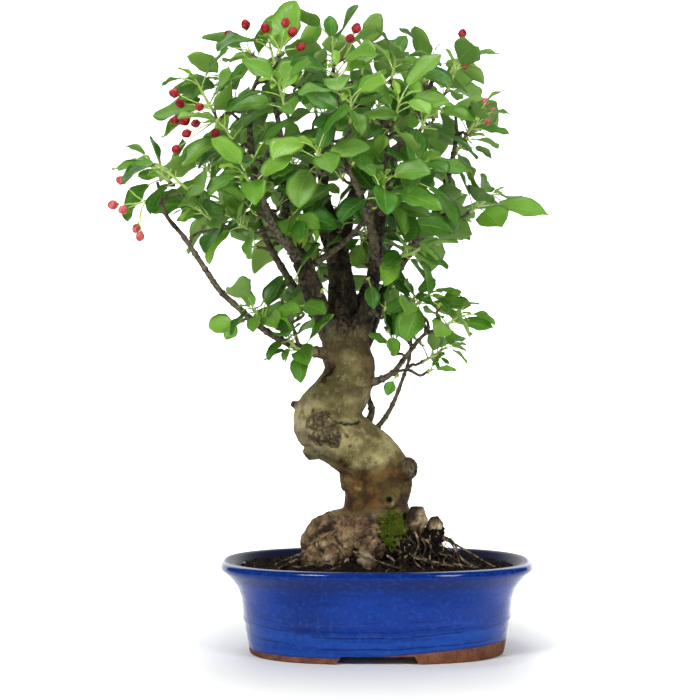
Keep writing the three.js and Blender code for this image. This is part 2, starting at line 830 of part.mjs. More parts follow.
// A three-sided green stem on the end of a spur. It twists a little from leaf to leaf, so that each
// leaf has a side of its own to grow out of, a golden angle on from the last.
function makeShoot(name, tip, growth, aims, room, random) {
  const scale = tip.z < LOW.below ? LOW.scale : 1;
  const count = LEAF.fewest + Math.floor(random() * (LEAF.most - LEAF.fewest + 1));
  const length = THREE.MathUtils.lerp(STEM.shortest, STEM.longest, random());
  const firstTurn = 2 * Math.PI * random();
  const at = (share) =>
    tip
      .clone()
      .addScaledVector(growth, TOUCH_GAP + share * length)
      .addScaledVector(UP, 0.12 * length * share * share);
  const shell = new Shell();
  const rings = Array.from({ length: count + 1 }, (_, i) => {
    const share = i / count;
    const radius = STEM.radius * (1 - 0.3 * share);
    const turn = firstTurn + i * (GOLDEN_ANGLE - (2 * Math.PI) / 3);
    const corner = (j) =>
      at(share).addScaledVector(armAround(growth, turn + (2 * Math.PI * j) / 3), radius);
    return shell.ring([0, 1, 2].map(corner));
  });
  shell.close(rings[0], true);
  const walls = rings.slice(1).map((ring, i) => {
    const first = shell.triangles.length;
    shell.join(rings[i], ring);
    return first;
  });
  shell.close(rings.at(-1), false);
  for (let i = 0; i <= 6; i++) room.fill([at(i / 6)], STALK_ROOM + 0.4, name, true);
  const turns = walls.map((_, i) => firstTurn + Math.PI / 3 + i * GOLDEN_ANGLE);
  const places = placesFor(aims, tip, growth, turns);
  for (let i = 0; i < count; i++) {
    const share = (i + 0.5) / count;
    for (let k = 0; k < LEAF.tries; k++) {
      const lean = THREE.MathUtils.lerp(1.5, 0.5, share) + (random() - 0.5) * 0.1 * k;
      const swing = turns[i] + (random() - 0.5) * 0.1 * k;
      const leaf = places[i]
        ? aimedLeaf(at(share), places[i].clone().addScaledVector(growth, k), random)
        : leafForm(at(share), growth, swing, lean, scale, random);
      const [blade, stalk] = [leaf.blade(), leaf.stalkPoints()];
      const clear =
        room.isFree(blade, BLADE_ROOM, name, 0.8, 0.6) &&
        room.isFree(stalk, STALK_ROOM, name, 0.7, 0);
      if (!clear) continue;
      shell.sprout(walls[i] + 2 * (i % 3), leaf.rings());
      room.fill(blade, BLADE_ROOM, name);
      room.fill(stalk.slice(1), STALK_ROOM, name, true);
      break;
    }
  }
  return shell.solid();
}

// The rings of a closed bud: the end of its stalk, the calyx, the petals and their tip.
function budRings(foot, tip) {
  const way = tip.clone().sub(foot).normalize();
  const ring = (back, radius, sides) =>
    Array.from({ length: sides }, (_, j) =>
      tip
        .clone()
        .addScaledVector(way, -back)
        .addScaledVector(armAround(way, (2 * Math.PI * j) / sides), radius),
    );
  const stalkEnd = ring(BUD.length, BUD.pedicel * 1.2, 3);
  return [
    stalkEnd,
    ring(0.76 * BUD.length, 0.66 * BUD.radius, 6),
    ring(0.4 * BUD.length, BUD.radius, 6),
    [tip],
  ];
}

// A small knob on the spur, with one bud on each side of its peak.
function makeUmbel(umbel, growth) {
  const sides = umbel.buds.length;
  const at = (height) =>
    vector(umbel.foot).addScaledVector(growth, TOUCH_GAP + height);
  const side = armAround(growth, 0);
  const front = growth.clone().cross(side);
  const bearing = (bud) => {
    const way = vector(bud).sub(at(0));
    return (Math.atan2(way.dot(front), way.dot(side)) + 2 * Math.PI) % (2 * Math.PI);
  };
  const buds = [...umbel.buds].sort((a, b) => bearing(a) - bearing(b));
  const slack = buds.map((bud, j) => bearing(bud) - (2 * Math.PI * (j + 0.5)) / sides);
  const turn = slack.reduce((sum, value) => sum + value, 0) / sides;
  const shell = new Shell();
  const knob = (height, radius) => {
    const corner = (_, j) =>
      at(height).addScaledVector(armAround(growth, turn + (2 * Math.PI * j) / sides), radius);
    return shell.ring(Array.from({ length: sides }, corner));
  };
  const [low, high] = [knob(0, BUD.knob), knob(2, 1.1 * BUD.knob)];
  shell.close(low, true);
  shell.join(low, high);
  const peak = shell.triangles.length;
  shell.join(high, shell.ring([at(3.4)]));
  buds.map(vector).forEach((bud, j) => {
    const way = bud.clone().sub(at(2.6)).normalize();
    shell.sprout(peak + j, budRings(at(2.6), bud.addScaledVector(way, 0.45 * BUD.length)));
  });
  return shell.solid();
}

function fillWithUmbel(room, umbel, owner) {
  const foot = vector(umbel.foot);
  umbel.buds.map(vector).forEach((bud) => {
    room.fill([bud], BUD.radius + 1.6, owner);
    for (let i = 0; i < 8; i++) room.fill([foot.clone().lerp(bud, i / 9)], STALK_ROOM + 0.4, owner);
  });
}

// ---------------------------------------------------------------- the plant

const FINISH = {
  glaze: new THREE.MeshStandardMaterial({ color: 0x233ca0, roughness: 0.25 }),
  soil: new THREE.MeshStandardMaterial({ color: 0x1e1712, roughness: 1 }),
  screen: new THREE.MeshStandardMaterial({ color: 0x2b2b2b, roughness: 0.7 }),
  bark: new THREE.MeshStandardMaterial({ color: 0x7d6f4e, roughness: 0.85 }),
  leaf: new THREE.MeshStandardMaterial({ color: 0x4a9a2a, roughness: 0.55 }),
  bud: new THREE.MeshStandardMaterial({ color: 0xb3142c, roughness: 0.5 }),
};

function meshOf(name, solid, material) {
  const { numProp, vertProperties, triVerts } = solid.getMesh();
  const geometry = new THREE.BufferGeometry();
  const positions = new Float32Array((vertProperties.length / numProp) * 3);
  for (let i = 0; i < positions.length / 3; i++)
    positions.set(vertProperties.subarray(i * numProp, i * numProp + 3), i * 3);
  geometry.setAttribute("position", new THREE.BufferAttribute(positions, 3));
  geometry.setIndex(new THREE.BufferAttribute(triVerts, 1));
  geometry.computeVertexNormals();
  const mesh = new THREE.Mesh(geometry, material.clone());
  mesh.name = name;
  return mesh;
}

const numbered = (name, i) => `${name}_${String(i + 1).padStart(2, "0")}`;

const tips = SHOOT_TIPS.map(vector);
const growths = tips.map((tip) => growthAt(tip, tip.z < LOW.below ? LOW.lift : 0.45));
const umbelGrowths = UMBELS.map(({ foot, buds }) =>
  buds.reduce((sum, bud) => sum.add(vector(bud).sub(vector(foot))), new THREE.Vector3()).normalize(),
);
const spurs = [
  ...tips.map((tip, i) => spurPoints(tip, growths[i])),
  ...UMBELS.map(({ foot }, i) => spurPoints(vector(foot), umbelGrowths[i])),
];

const room = new Room(12);
[TRUNK_LOWER, TRUNK_UPPER, ...Object.values(BRANCHES), ...spurs].forEach((points) =>
  fillWithRod(room, points, "wood", 0.5),
);
UMBELS.forEach((umbel, i) => fillWithUmbel(room, umbel, numbered("bud_umbel", i)));

const plant = new THREE.Group();
plant.add(meshOf("pot", makePot(), FINISH.glaze));
plant.add(meshOf("soil", makeSoil(rootedWood(TOUCH_GAP)), FINISH.soil));
[-POT.drainAt, POT.drainAt].forEach((x, i) =>
  plant.add(meshOf(numbered("drain_screen", i), makeScreen(x), FINISH.screen)),
);
plant.add(meshOf("trunk_and_branches", makeWood(spurs), FINISH.bark));
UMBELS.forEach((umbel, i) =>
  plant.add(meshOf(numbered("bud_umbel", i), makeUmbel(umbel, umbelGrowths[i]), FINISH.bud)),
);
tips.forEach((tip, i) => {
  const name = numbered("leafy_shoot", i);
  const aims = AIMED_LEAVES[i + 1] ?? [];
  const shoot = makeShoot(name, tip, growths[i], aims, room, seeded(1000 + 77 * i));
  plant.add(meshOf(name, shoot, FINISH.leaf));
});

// The plant's own box stands with the middle of its underside on the origin.
const box = new THREE.Box3().setFromObject(plant);
const middle = box.getCenter(new THREE.Vector3());
plant.position.set(-middle.x, -middle.y, -box.min.z);

const part = new THREE.Group();
part.add(plant);
export default part;
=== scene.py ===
# %% [markdown]
# # A crabapple bonsai, dressed in Blender
#
# The solid model of the tree is loaded first and stays as the frame: every piece made here goes
# where that frame says. The tree is a crabapple grown as a bonsai, in spring, with its flower buds
# still closed. We make the pot, the soil, the wood, the leaves and the buds anew with more detail,
# and give each of them a material built from nodes.

# %% Load the frame
import math
import random

import bmesh
import bpy
import numpy as np
from mathutils import Matrix, Vector, noise
from mathutils.bvhtree import BVHTree


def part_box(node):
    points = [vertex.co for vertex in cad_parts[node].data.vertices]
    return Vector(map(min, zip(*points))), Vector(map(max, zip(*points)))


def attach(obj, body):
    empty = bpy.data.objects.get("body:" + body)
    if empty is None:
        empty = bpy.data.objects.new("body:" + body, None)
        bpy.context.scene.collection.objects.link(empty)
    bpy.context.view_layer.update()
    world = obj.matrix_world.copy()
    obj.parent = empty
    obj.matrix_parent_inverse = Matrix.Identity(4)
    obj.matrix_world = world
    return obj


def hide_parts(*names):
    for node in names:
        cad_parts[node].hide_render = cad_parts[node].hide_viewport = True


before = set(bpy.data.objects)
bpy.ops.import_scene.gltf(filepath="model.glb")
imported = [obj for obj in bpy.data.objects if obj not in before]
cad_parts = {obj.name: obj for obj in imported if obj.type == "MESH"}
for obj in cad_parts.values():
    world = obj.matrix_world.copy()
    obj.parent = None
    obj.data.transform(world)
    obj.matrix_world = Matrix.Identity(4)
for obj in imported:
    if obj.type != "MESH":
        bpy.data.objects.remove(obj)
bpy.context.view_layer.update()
pot_low, pot_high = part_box("pot")
POT_X = (pot_low[0] + pot_high[0]) / 2
POT_Y = (pot_low[1] + pot_high[1]) / 2
MM = 0.001
print("frame:", len(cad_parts), "nodes, pot centre", round(POT_X, 4), round(POT_Y, 4))


def place(x, y, z):
    """A point given in millimetres from the middle of the pot on the ground, in metres."""
    return Vector((x * MM + POT_X, y * MM + POT_Y, z * MM))


def places(points):
    """The same for an array of points."""
    return np.asarray(points, dtype=float) * MM + np.array([POT_X, POT_Y, 0.0])


# %% [markdown]
# ## Camera, light and floor
#
# The tree is seen from straight ahead, from about its own mid height, with a long lens, so that
# the pot's rim shows as a narrow oval. Three round panels give soft light from the left, the right
# and above, and a weak fourth one in front brightens the pot's wall. A pale floor runs up into a
# pale wall, and both glow behind the pot; beside it the floor glows as painted light on its shadow.

# %% Helpers for selecting, for edit mode and for finished pieces
def deselect():
    if bpy.context.object and bpy.context.object.mode != "OBJECT":
        bpy.ops.object.mode_set(mode="OBJECT")
    bpy.ops.object.select_all(action="DESELECT")


def active(piece):
    deselect()
    piece.select_set(True)
    bpy.context.view_layer.objects.active = piece
    return piece


def named(name):
    """The object that was added last, under this name."""
    bpy.context.object.name = name
    return bpy.context.object


def smooth(piece):
    active(piece)
    bpy.ops.object.shade_smooth()


def settle(piece):
    """Puts the piece's place into its mesh, so that its object stands at the origin."""
    active(piece)
    bpy.ops.object.transform_apply(location=True, rotation=True, scale=True)
    return piece


def edit_whole(piece):
    """Opens the piece in edit mode with all of it selected."""
    active(piece)
    bpy.ops.object.mode_set(mode="EDIT")
    bpy.ops.mesh.select_all(action="SELECT")


def extrude(way):
    bpy.ops.mesh.extrude_region_move(TRANSFORM_OT_translate={"value": way})


def close_shell():
    """Turns all faces of the mesh in edit mode outwards, and leaves edit mode."""
    bpy.ops.mesh.select_all(action="SELECT")
    bpy.ops.mesh.normals_make_consistent(inside=False)
    bpy.ops.object.mode_set(mode="OBJECT")


def apply_modifier(piece, kind, **settings):
    active(piece)
    modifier = piece.modifiers.new(kind.lower(), kind)
    for setting, value in settings.items():
        setattr(modifier, setting, value)
    bpy.ops.object.modifier_apply(modifier=modifier.name)


def faces_of(piece):
    return sum(len(face.vertices) - 2 for face in piece.data.polygons)


def report(piece):
    print(f"{piece.name}: {faces_of(piece)} triangles")


# %% Camera and studio
bpy.ops.object.camera_add(location=place(-22.1, -1680, 250), rotation=(math.radians(90), 0, 0))
camera = named("camera")
camera.data.lens = 103.5
camera.data.sensor_width = 36
camera.data.clip_end = 30
bpy.context.scene.camera = camera
LIT = Vector((0, 0, 0.27))  # what all panels face


def panel(name, where, size, power):
    bpy.ops.object.light_add(type="AREA", location=where)
    light = named(name)
    light.data.shape = "DISK"
    light.data.size = size
    light.data.energy = power
    light.rotation_euler = (LIT - Vector(where)).to_track_quat("-Z", "Y").to_euler()
    return light


panel("panel_left", (-0.87, -1.52, 1.37), 0.6, 29)
panel("panel_right", (1.1, -1.55, 1.12), 0.6, 17)
panel("panel_top", (-0.1, 0.1, 1.8), 0.9, 16)
low_front = panel("panel_front", (-0.2, -2.0, 0.2), 0.9, 5)
low_front.visible_glossy = False  # it lights the pot's wall, but leaves no glint on it

world = bpy.data.worlds.new("studio")
bpy.context.scene.world = world
world.use_nodes = True
background = world.node_tree.nodes["Background"]
background.inputs["Color"].default_value = (1, 1, 1, 1)
background.inputs["Strength"].default_value = 0.1
bpy.context.scene.view_settings.view_transform = "Standard"

# %% The floor sweeps up into a wall behind
SWEEP_STEPS, SWEEP_RADIUS, WALL_HEIGHT = 8, 2.0, 4
deselect()
bpy.ops.mesh.primitive_plane_add(size=12, location=(0, -1.0, -0.0002))
floor = named("floor")
bpy.ops.object.mode_set(mode="EDIT")
bpy.ops.mesh.select_all(action="DESELECT")
edit = bmesh.from_edit_mesh(floor.data)
for edge in edit.edges:
    edge.select = all(vertex.co.y > 0 for vertex in edge.verts)
bmesh.update_edit_mesh(floor.data)
reach = SWEEP_RADIUS * math.radians(90 / SWEEP_STEPS)
for step in range(SWEEP_STEPS):
    turn = math.radians(90 * (step + 0.5) / SWEEP_STEPS)
    extrude((0, reach * math.cos(turn), reach * math.sin(turn)))
extrude((0, 0, WALL_HEIGHT))
bpy.ops.object.mode_set(mode="OBJECT")
bpy.ops.object.shade_smooth()
settle(floor)
print("floor:", len(floor.data.polygons), "faces")

# %% [markdown]
# ## How the materials are put together
#
# Each finish below is a Principled shader fed by a few noise patterns. The patterns read the
# Object coordinates, which stay on the piece when it moves, or an attribute that was painted on
# the mesh while it was made. One small class keeps the node work short. A finish is then built as
# a painter builds it: two tones to begin with, and thinner coats of other colours over them.


# %% A helper that builds node materials
class Finish:
    """A node material under construction: each method adds a node or two and returns the output.
    A colour is given as painters mix it, as red, green and blue from 0 to 255."""

    def __init__(self, name):
        self.material = bpy.data.materials.new(name)
        self.material.use_nodes = True
        self.tree = self.material.node_tree
        self.shader = self.tree.nodes["Principled BSDF"]
        self.output = self.tree.nodes["Material Output"]
        self.place = self.node("TexCoord", {}).outputs["Object"]

    def node(self, kind, inputs):
        """A new node. inputs holds a number or another node's output for each of its sockets."""
        made = self.tree.nodes.new("ShaderNode" + kind)
        for socket, source in inputs.items():
            self.link(source, made.inputs[socket])
        return made

    def link(self, source, target):
        if isinstance(source, (int, float, tuple)):
            target.default_value = source
        else:
            self.tree.links.new(source, target)

    def noise(self, scale, detail=3.0, rough=0.55, place=None):
        return self.node("TexNoise", {"Scale": scale, "Detail": detail, "Roughness": rough,
                                      "Vector": place or self.place}).outputs["Fac"]

    def cells(self, scale, feature="F1", place=None):
        node = self.node("TexVoronoi", {"Scale": scale, "Vector": place or self.place})
        node.feature = feature
        return node.outputs["Distance"]

    def stretched(self, x, y, z):
        return self.node("Mapping", {"Scale": (x, y, z), "Vector": self.place}).outputs["Vector"]

    def warped(self, amount, scale):
        """The place, shifted by up to half this amount each way, so that straight lines wander."""
        wander = self.node("TexNoise", {"Scale": scale, "Vector": self.place}).outputs["Color"]
        add = self.node("VectorMath", {0: wander, 1: (amount, amount, amount), 2: self.place})
        add.operation = "MULTIPLY_ADD"
        return add.outputs["Vector"]

    def painted(self, name):
        node = self.node("Attribute", {})
        node.attribute_name = name
        return node.outputs["Fac"]

    def axis(self, which, source=None):
        return self.node("SeparateXYZ", {0: source or self.place}).outputs[which]

    def math(self, operation, a, b=0.0):
        node = self.node("Math", {0: a, 1: b})
        node.operation = operation
        return node.outputs[0]

    def times(self, a, b):
        return self.math("MULTIPLY", a, b)

    def plus(self, a, b):
        return self.math("ADD", a, b)

    def minus(self, a, b):
        return self.math("SUBTRACT", a, b)

    def ramp(self, source, low, high, start=0.0, end=1.0):
        """source between low and high, turned into start to end, smoothly."""
        node = self.node("MapRange", {"Value": source, "From Min": low, "From Max": high,
                                      "To Min": start, "To Max": end})
        node.interpolation_type = "SMOOTHSTEP"
        return node.outputs["Result"]

    def mix(self, share, a, b):
        node = self.tree.nodes.new("ShaderNodeMix")
        node.data_type = "RGBA"
        self.link(share, node.inputs[0])
        for socket, tone in ((6, a), (7, b)):
            self.link(colour(*tone) if isinstance(tone, tuple) else tone, node.inputs[socket])
        return node.outputs[2]

    def tones(self, pattern, low, high, a, b):
        """Colour a where the pattern is low, and b where it is high."""
        return self.mix(self.ramp(pattern, low, high), a, b)

    def coat(self, base, tone, pattern, low, high, share=1.0):
        """A colour over base, by up to share, where the pattern passes from low to high."""
        return self.mix(self.ramp(pattern, low, high, 0.0, share), base, tone)

    def wash(self, base, tone, mask, share):
        """A colour over base, by this share of a mask that runs from 0 to 1."""
        return self.mix(self.times(mask, share), base, tone)

    def bump(self, height, strength, distance):
        node = self.node("Bump", {"Strength": strength, "Distance": distance, "Height": height})
        self.link(node.outputs["Normal"], self.shader.inputs["Normal"])

    def finish(self, tone, roughness, specular=0.5):
        self.link(tone, self.shader.inputs["Base Color"])
        self.link(roughness, self.shader.inputs["Roughness"])
        self.shader.inputs["Specular IOR Level"].default_value = specular
        return self.material


def colour(red, green, blue):
    """A colour as painters mix it, 0 to 255, made linear for the shader."""
    def linear(value):
        share = value / 255
        return share / 12.92 if share <= 0.04045 else ((share + 0.055) / 1.055) ** 2.4
    return (linear(red), linear(green), linear(blue), 1.0)


def paint(piece, name, values):
    """Writes one number per vertex, which a material can read by name."""
    layer = piece.data.attributes.new(name, "FLOAT", "POINT")
    layer.data.foreach_set("value", np.asarray(values, dtype=np.float32))


def triples(items, name):
    """A vector of each item of a mesh, such as its place or normal, as rows of three numbers."""
    flat = np.empty(len(items) * 3)
    items.foreach_get(name, flat)
    return flat.reshape(-1, 3)


def corners_of(piece):
    return triples(piece.data.vertices, "co")


def smoothstep(low, high, value):
    share = np.clip((np.asarray(value, dtype=float) - low) / (high - low), 0, 1)
    return share * share * (3 - 2 * share)


floor_white = Finish("floor_white")
floor_tone = floor_white.mix(floor_white.noise(3.0), (247, 247, 247), (249.3, 249.3, 249.3))
floor_white.finish(floor_tone, 0.55, 0.3)
floor_white.shader.inputs["Emission Color"].default_value = (1, 1, 1, 1)
across, back = floor_white.axis("X"), floor_white.axis("Y")
# Painted light: the floor glows beside the pot, which lightens the pot's shadow there.
glow_beside_pot = floor_white.plus(floor_white.ramp(across, 0.14, 0.22, 0.0, 0.4),
                              floor_white.ramp(across, -0.08, -0.15, 0.0, 0.25))
wall_glow = floor_white.plus(floor_white.ramp(back, 0.0, 1.3), glow_beside_pot)
floor_white.link(wall_glow, floor_white.shader.inputs["Emission Strength"])
floor.data.materials.append(floor_white.material)

# %% [markdown]
# ## The pot
#
# A bonsai pot of this kind is pressed in a mould, glazed cobalt blue and fired, and the foot stays
# bare clay. Its outline in plan is a superellipse, fuller in the corners than an ellipse. We draw
# one ring, shape it, and then extrude and resize it level by level along the pot's profile, which
# is how a profile is followed by hand. The arches and the drain holes are cut last.

# %% The pot's measures, in millimetres
HALF_LENGTH, HALF_DEPTH, SQUARENESS = 130, 108, 2.5
FOOT_HEIGHT = 6.5
ARCH_HALF, ARCH_SLANT = 34, 5
DRAIN_RADIUS, DRAIN_AT, FLOOR_TOP = 11, 46, 14
OUTSIDE = [(0, 24.4), (12, 22.3), (26, 20.4), (30, 19.2), (46, 17.4), (55, 14), (62, 8.6),
           (67, 3.4), (69.6, 0.5), (71, 0.1), (75.6, 1.7)]
INSIDE = [(75.6, 9.8), (74, 11.2), (56, 22), (20, 29.5), (14, 33)]


def oval_point(angle, step):
    """A point of the pot's outline, stepped in from the rim's edge."""
    power = 2 / SQUARENESS
    c, s = math.cos(angle), math.sin(angle)
    x = (HALF_LENGTH - step) * math.copysign(abs(c) ** power, c)
    y = (HALF_DEPTH - step) * math.copysign(abs(s) ** power, s)
    return x, y


def with_between(levels, spacing):
    """What follows the first level, with more levels between them, about this far apart."""
    made = []
    for (z0, s0), (z1, s1) in zip(levels, levels[1:]):
        parts = max(1, round(abs(z1 - z0) / spacing))
        made += [(z0 + (z1 - z0) * k / parts, s0 + (s1 - s0) * k / parts)
                 for k in range(1, parts + 1)]
    return made


FOOT_RING = [(FOOT_HEIGHT, 38.4), (0.9, 38.4), (0.0, 37.3), (0.0, 25.6), (0.7, 24.5)]
ROUND_LIP = [(72.1, 0.3), (73.2, 0.6), (74.2, 1.0), (74.9, 1.7), (75.3, 2.6), (75.6, 4.0),
             (75.7, 6.6), (75.45, 8.9), (74.9, 10.2), (74.0, 11.2)]
profile = [*FOOT_RING, *with_between(OUTSIDE[:-1], 2.2), *ROUND_LIP, *with_between(INSIDE[1:], 4)]


# %% Draw the first ring and extrude it along the profile
def first_ring(name, sides, z, step):
    """A filled ring on the pot's outline, stepped in from the rim's edge, open in edit mode."""
    deselect()
    bpy.ops.mesh.primitive_circle_add(vertices=sides, radius=0.1, location=(0, 0, 0))
    ring = named(name)
    for i, vertex in enumerate(ring.data.vertices):
        x, y = oval_point(2 * math.pi * (i + 0.5) / sides, step)
        vertex.co = (x * MM, y * MM, z * MM)
    edit_whole(ring)
    bpy.ops.mesh.edge_face_add()
    bpy.ops.mesh.select_all(action="SELECT")
    return ring


def climb(levels):
    """Extrudes the ring from level to level, each a height and a step in."""
    for (z0, s0), (z1, s1) in zip(levels, levels[1:]):
        extrude((0, 0, (z1 - z0) * MM))
        grow = ((HALF_LENGTH - s1) / (HALF_LENGTH - s0), (HALF_DEPTH - s1) / (HALF_DEPTH - s0), 1)
        bpy.ops.transform.resize(value=grow, center_override=(0, 0, z1 * MM))


POT_SIDES, SOIL_SIDES = 176, 112
pot = first_ring("glazed_pot", POT_SIDES, *profile[0])
climb(profile)
close_shell()
print("pot:", len(profile), "levels,", len(pot.data.polygons), "faces")

# %% Let the wall wander a little, as pressed clay does
for vertex in pot.data.vertices:
    x, y, z = vertex.co / MM
    angle = math.atan2(y / HALF_DEPTH, x / HALF_LENGTH)
    outer = math.hypot(x / HALF_LENGTH, y / HALF_DEPTH)
    tilt = 2.2 * math.sin(angle + 0.6) + 1.2 * math.sin(3 * angle)
    ridges = 0.0
    if 3 < z < 60 and outer > 0.8:
        ridges += 0.95 * math.exp(-((z - 30.5 - tilt) / 1.8) ** 2)
        ridges += 0.7 * math.exp(-((z - 22.5 - 1.3 * tilt) / 1.4) ** 2)
        ridges += 0.3 * math.exp(-((z - 15 - tilt) / 1.8) ** 2)
        ridges += 0.35 * noise.noise(Vector((2.2 * math.cos(angle), 2.2 * math.sin(angle), z / 11)))
    wander = 0.35 * noise.noise(Vector((1.5 * math.cos(angle), 1.5 * math.sin(angle), 5)))
    push = 1 + (ridges + (wander if z > 3 else 0)) / 110
    vertex.co = Vector((x * push, y * push, z)) * MM

# %% Cut the arches and the drain holes
def arch_cutter():
    """A bar through the front and the back of the foot, narrower at its top."""
    deselect()
    bpy.ops.mesh.primitive_cube_add(size=1, location=(0, 0, (FOOT_HEIGHT - 1) / 2 * MM))
    bar = bpy.context.object
    bar.scale = (2 * ARCH_HALF * MM, 2.2 * HALF_DEPTH * MM, (FOOT_HEIGHT + 1) * MM)
    settle(bar)
    bpy.ops.object.mode_set(mode="EDIT")
    bpy.ops.mesh.select_all(action="DESELECT")
    edit = bmesh.from_edit_mesh(bar.data)
    for face in edit.faces:
        face.select = face.normal.z > 0.9
    bmesh.update_edit_mesh(bar.data)
    narrow = ((ARCH_HALF - ARCH_SLANT) / ARCH_HALF, 1, 1)
    bpy.ops.transform.resize(value=narrow, center_override=(0, 0, 0))
    bpy.ops.object.mode_set(mode="OBJECT")
    return bar


def drain_cutter(x):
    deselect()
    bpy.ops.mesh.primitive_cylinder_add(vertices=48, radius=DRAIN_RADIUS * MM,
                                        depth=4 * FLOOR_TOP * MM, location=(x * MM, 0, 0))
    return settle(bpy.context.object)


for tool in (arch_cutter(), drain_cutter(-DRAIN_AT), drain_cutter(DRAIN_AT)):
    apply_modifier(pot, "BOOLEAN", operation="DIFFERENCE", solver="EXACT", object=tool)
    bpy.data.objects.remove(tool)
print("pot with arches and drain holes:", len(pot.data.polygons), "faces")

# %% Paint where the glaze runs thin on sharp edges
pot_mm = corners_of(pot) / MM


def steps_of(points):
    """How far each point is stepped in from the rim's edge, found by halving."""
    least, most = np.full(len(points), -5.0), np.full(len(points), 100.0)
    for _ in range(20):
        step = (least + most) / 2
        reach = (np.abs(points[:, 0]) / (HALF_LENGTH - step)) ** SQUARENESS
        reach += (np.abs(points[:, 1]) / (HALF_DEPTH - step)) ** SQUARENESS
        least, most = np.where(reach < 1, step, least), np.where(reach < 1, most, step)
    return step


pot_step = steps_of(pot_mm)


def near_edge(z, step, width):
    away = np.hypot(pot_mm[:, 2] - z, pot_step - step)
    return np.exp(-(away / width) ** 2)


thin = np.maximum(0.75 * near_edge(75.6, 4.0, 0.9), near_edge(75.4, 9.0, 1.5))
wall_step = np.interp(pot_mm[:, 2], *zip(*OUTSIDE))
inner = ((pot_step > wall_step + 5) & (pot_mm[:, 2] > 7.5)).astype(float)
lip = smoothstep(75.2, 75.6, pot_mm[:, 2]) * smoothstep(3.6, 4.6, pot_step)
unglazed = ((pot_step > 25.2) & (pot_mm[:, 2] < 7.2)).astype(float)
paint(pot, "thin_glaze", thin)
paint(pot, "inner_wall", inner)
paint(pot, "lip_top", lip)
paint(pot, "unglazed", unglazed)
pot.location = place(0, 0, 0)
settle(pot)
active(pot)
bpy.ops.object.shade_smooth_by_angle(angle=math.radians(40))
report(pot)

# %% Glaze and bare clay
glaze = Finish("cobalt_glaze")
height, along = glaze.axis("Z"), glaze.axis("X")
slow = glaze.noise(14, 3)
runs = glaze.noise(15, 4, place=glaze.stretched(1, 1, 11))
clouds = glaze.noise(13, 5, 0.62, place=glaze.stretched(1, 1, 1.6))
flecks = glaze.noise(260, 3)
wave = glaze.noise(16, 2, place=glaze.stretched(1, 1, 0.1))
fade = glaze.ramp(glaze.noise(30, 2), 0.36, 0.52)
off_middle = glaze.times(glaze.minus(along, POT_X), 1 / 0.09)
bowed = glaze.times(off_middle, off_middle)
TRACES = [(0.0215, 0.006, 0.009, 0.0009, 0.75), (0.0262, 0.008, 0.013, 0.0007, 0.6),
          (0.0125, 0.004, 0.010, 0.0009, 0.75), (0.0335, 0.004, 0.012, 0.0006, 0.45)]


def above_trace(level, bow, wander):
    """How far a point lies above a line that runs round the wall and bows up at the ends."""
    rise = glaze.plus(glaze.times(bowed, bow), glaze.times(wave, wander))
    return glaze.minus(height, glaze.plus(rise, level - 0.5 * wander))


low = glaze.ramp(above_trace(*TRACES[0][:3]), -0.001, 0.003, 1.0, 0.0)
body = glaze.tones(slow, 0.35, 0.7, (1, 34, 106), (5, 46, 130))
# Painted light: the glaze is lighter towards both ends of the wall, where the side panels light it.
body = glaze.coat(body, (18, 64, 158), bowed, 0.3, 1.6, 0.6)
body = glaze.coat(body, (14, 54, 142), clouds, 0.44, 0.66, 0.6)
body = glaze.wash(body, (24, 72, 162), low, 0.6)
body = glaze.wash(body, (4, 38, 120), glaze.times(glaze.ramp(runs, 0.5, 0.62), low), 0.5)
for level, bow, wander, width, depth in TRACES:
    groove = glaze.ramp(glaze.math("ABSOLUTE", above_trace(level, bow, wander)),
                        width, 0.15 * width)
    body = glaze.wash(body, (2, 14, 56), glaze.times(groove, fade), depth)
# Painted shade: the band under the lip is darkened, and the flare up to the rim is darker still
# against the light it catches.
shade_under_lip = glaze.times(glaze.ramp(height, 0.058, 0.064), glaze.ramp(height, 0.069, 0.066))
body = glaze.wash(body, (2, 18, 72), shade_under_lip, 0.5)
body = glaze.coat(body, (8, 34, 102), height, 0.062, 0.070, 0.7)
body = glaze.coat(body, (34, 90, 176), flecks, 0.5, 0.72, 0.25)
body = glaze.coat(body, (2, 22, 84), flecks, 0.46, 0.3, 0.3)
body = glaze.wash(body, (22, 22, 38), glaze.painted("inner_wall"), 0.85)
body = glaze.wash(body, (64, 70, 118), glaze.painted("lip_top"), 0.75)
worn = glaze.plus(glaze.painted("thin_glaze"), glaze.times(glaze.noise(160, 3), 0.35))
body = glaze.coat(body, (44, 30, 34), worn, 0.55, 0.95)
clay = glaze.tones(glaze.noise(120, 4), 0.3, 0.7, (96, 56, 36), (132, 84, 56))
clay = glaze.coat(clay, (62, 34, 24), glaze.noise(700, 2), 0.55, 0.7)

# %% Where the glaze ends above the foot
line = glaze.plus(glaze.ramp(along, POT_X - 0.03, POT_X + 0.05, 0.0036, 0.0082),
                  glaze.ramp(along, POT_X + 0.03, POT_X + 0.11, 0.0, 0.0035))
above = glaze.minus(height, glaze.plus(line, glaze.times(glaze.noise(55, 3), 0.0022)))
glazed = glaze.times(glaze.ramp(above, -0.0002, 0.0004),
                     glaze.ramp(glaze.painted("unglazed"), 0.4, 0.02))
body = glaze.wash(body, (36, 40, 82), glaze.times(glazed, glaze.ramp(above, 0.0022, 0.0006)), 0.7)
glaze.bump(glaze.plus(glaze.times(slow, 0.6), glaze.times(flecks, 0.14)), 0.3, 0.002)
glaze.shader.inputs["Specular Tint"].default_value = (0.75, 0.85, 1.0, 1.0)
dull = glaze.math("MAXIMUM", glaze.painted("lip_top"), glaze.painted("inner_wall"))
gloss = glaze.plus(glaze.ramp(glazed, 0, 1, 0.75, 0.1), glaze.times(dull, 0.4))
pot.data.materials.clear()
pot.data.materials.append(glaze.finish(glaze.mix(glazed, clay, body), gloss, 0.24))
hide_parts("pot")
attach(pot, "root")

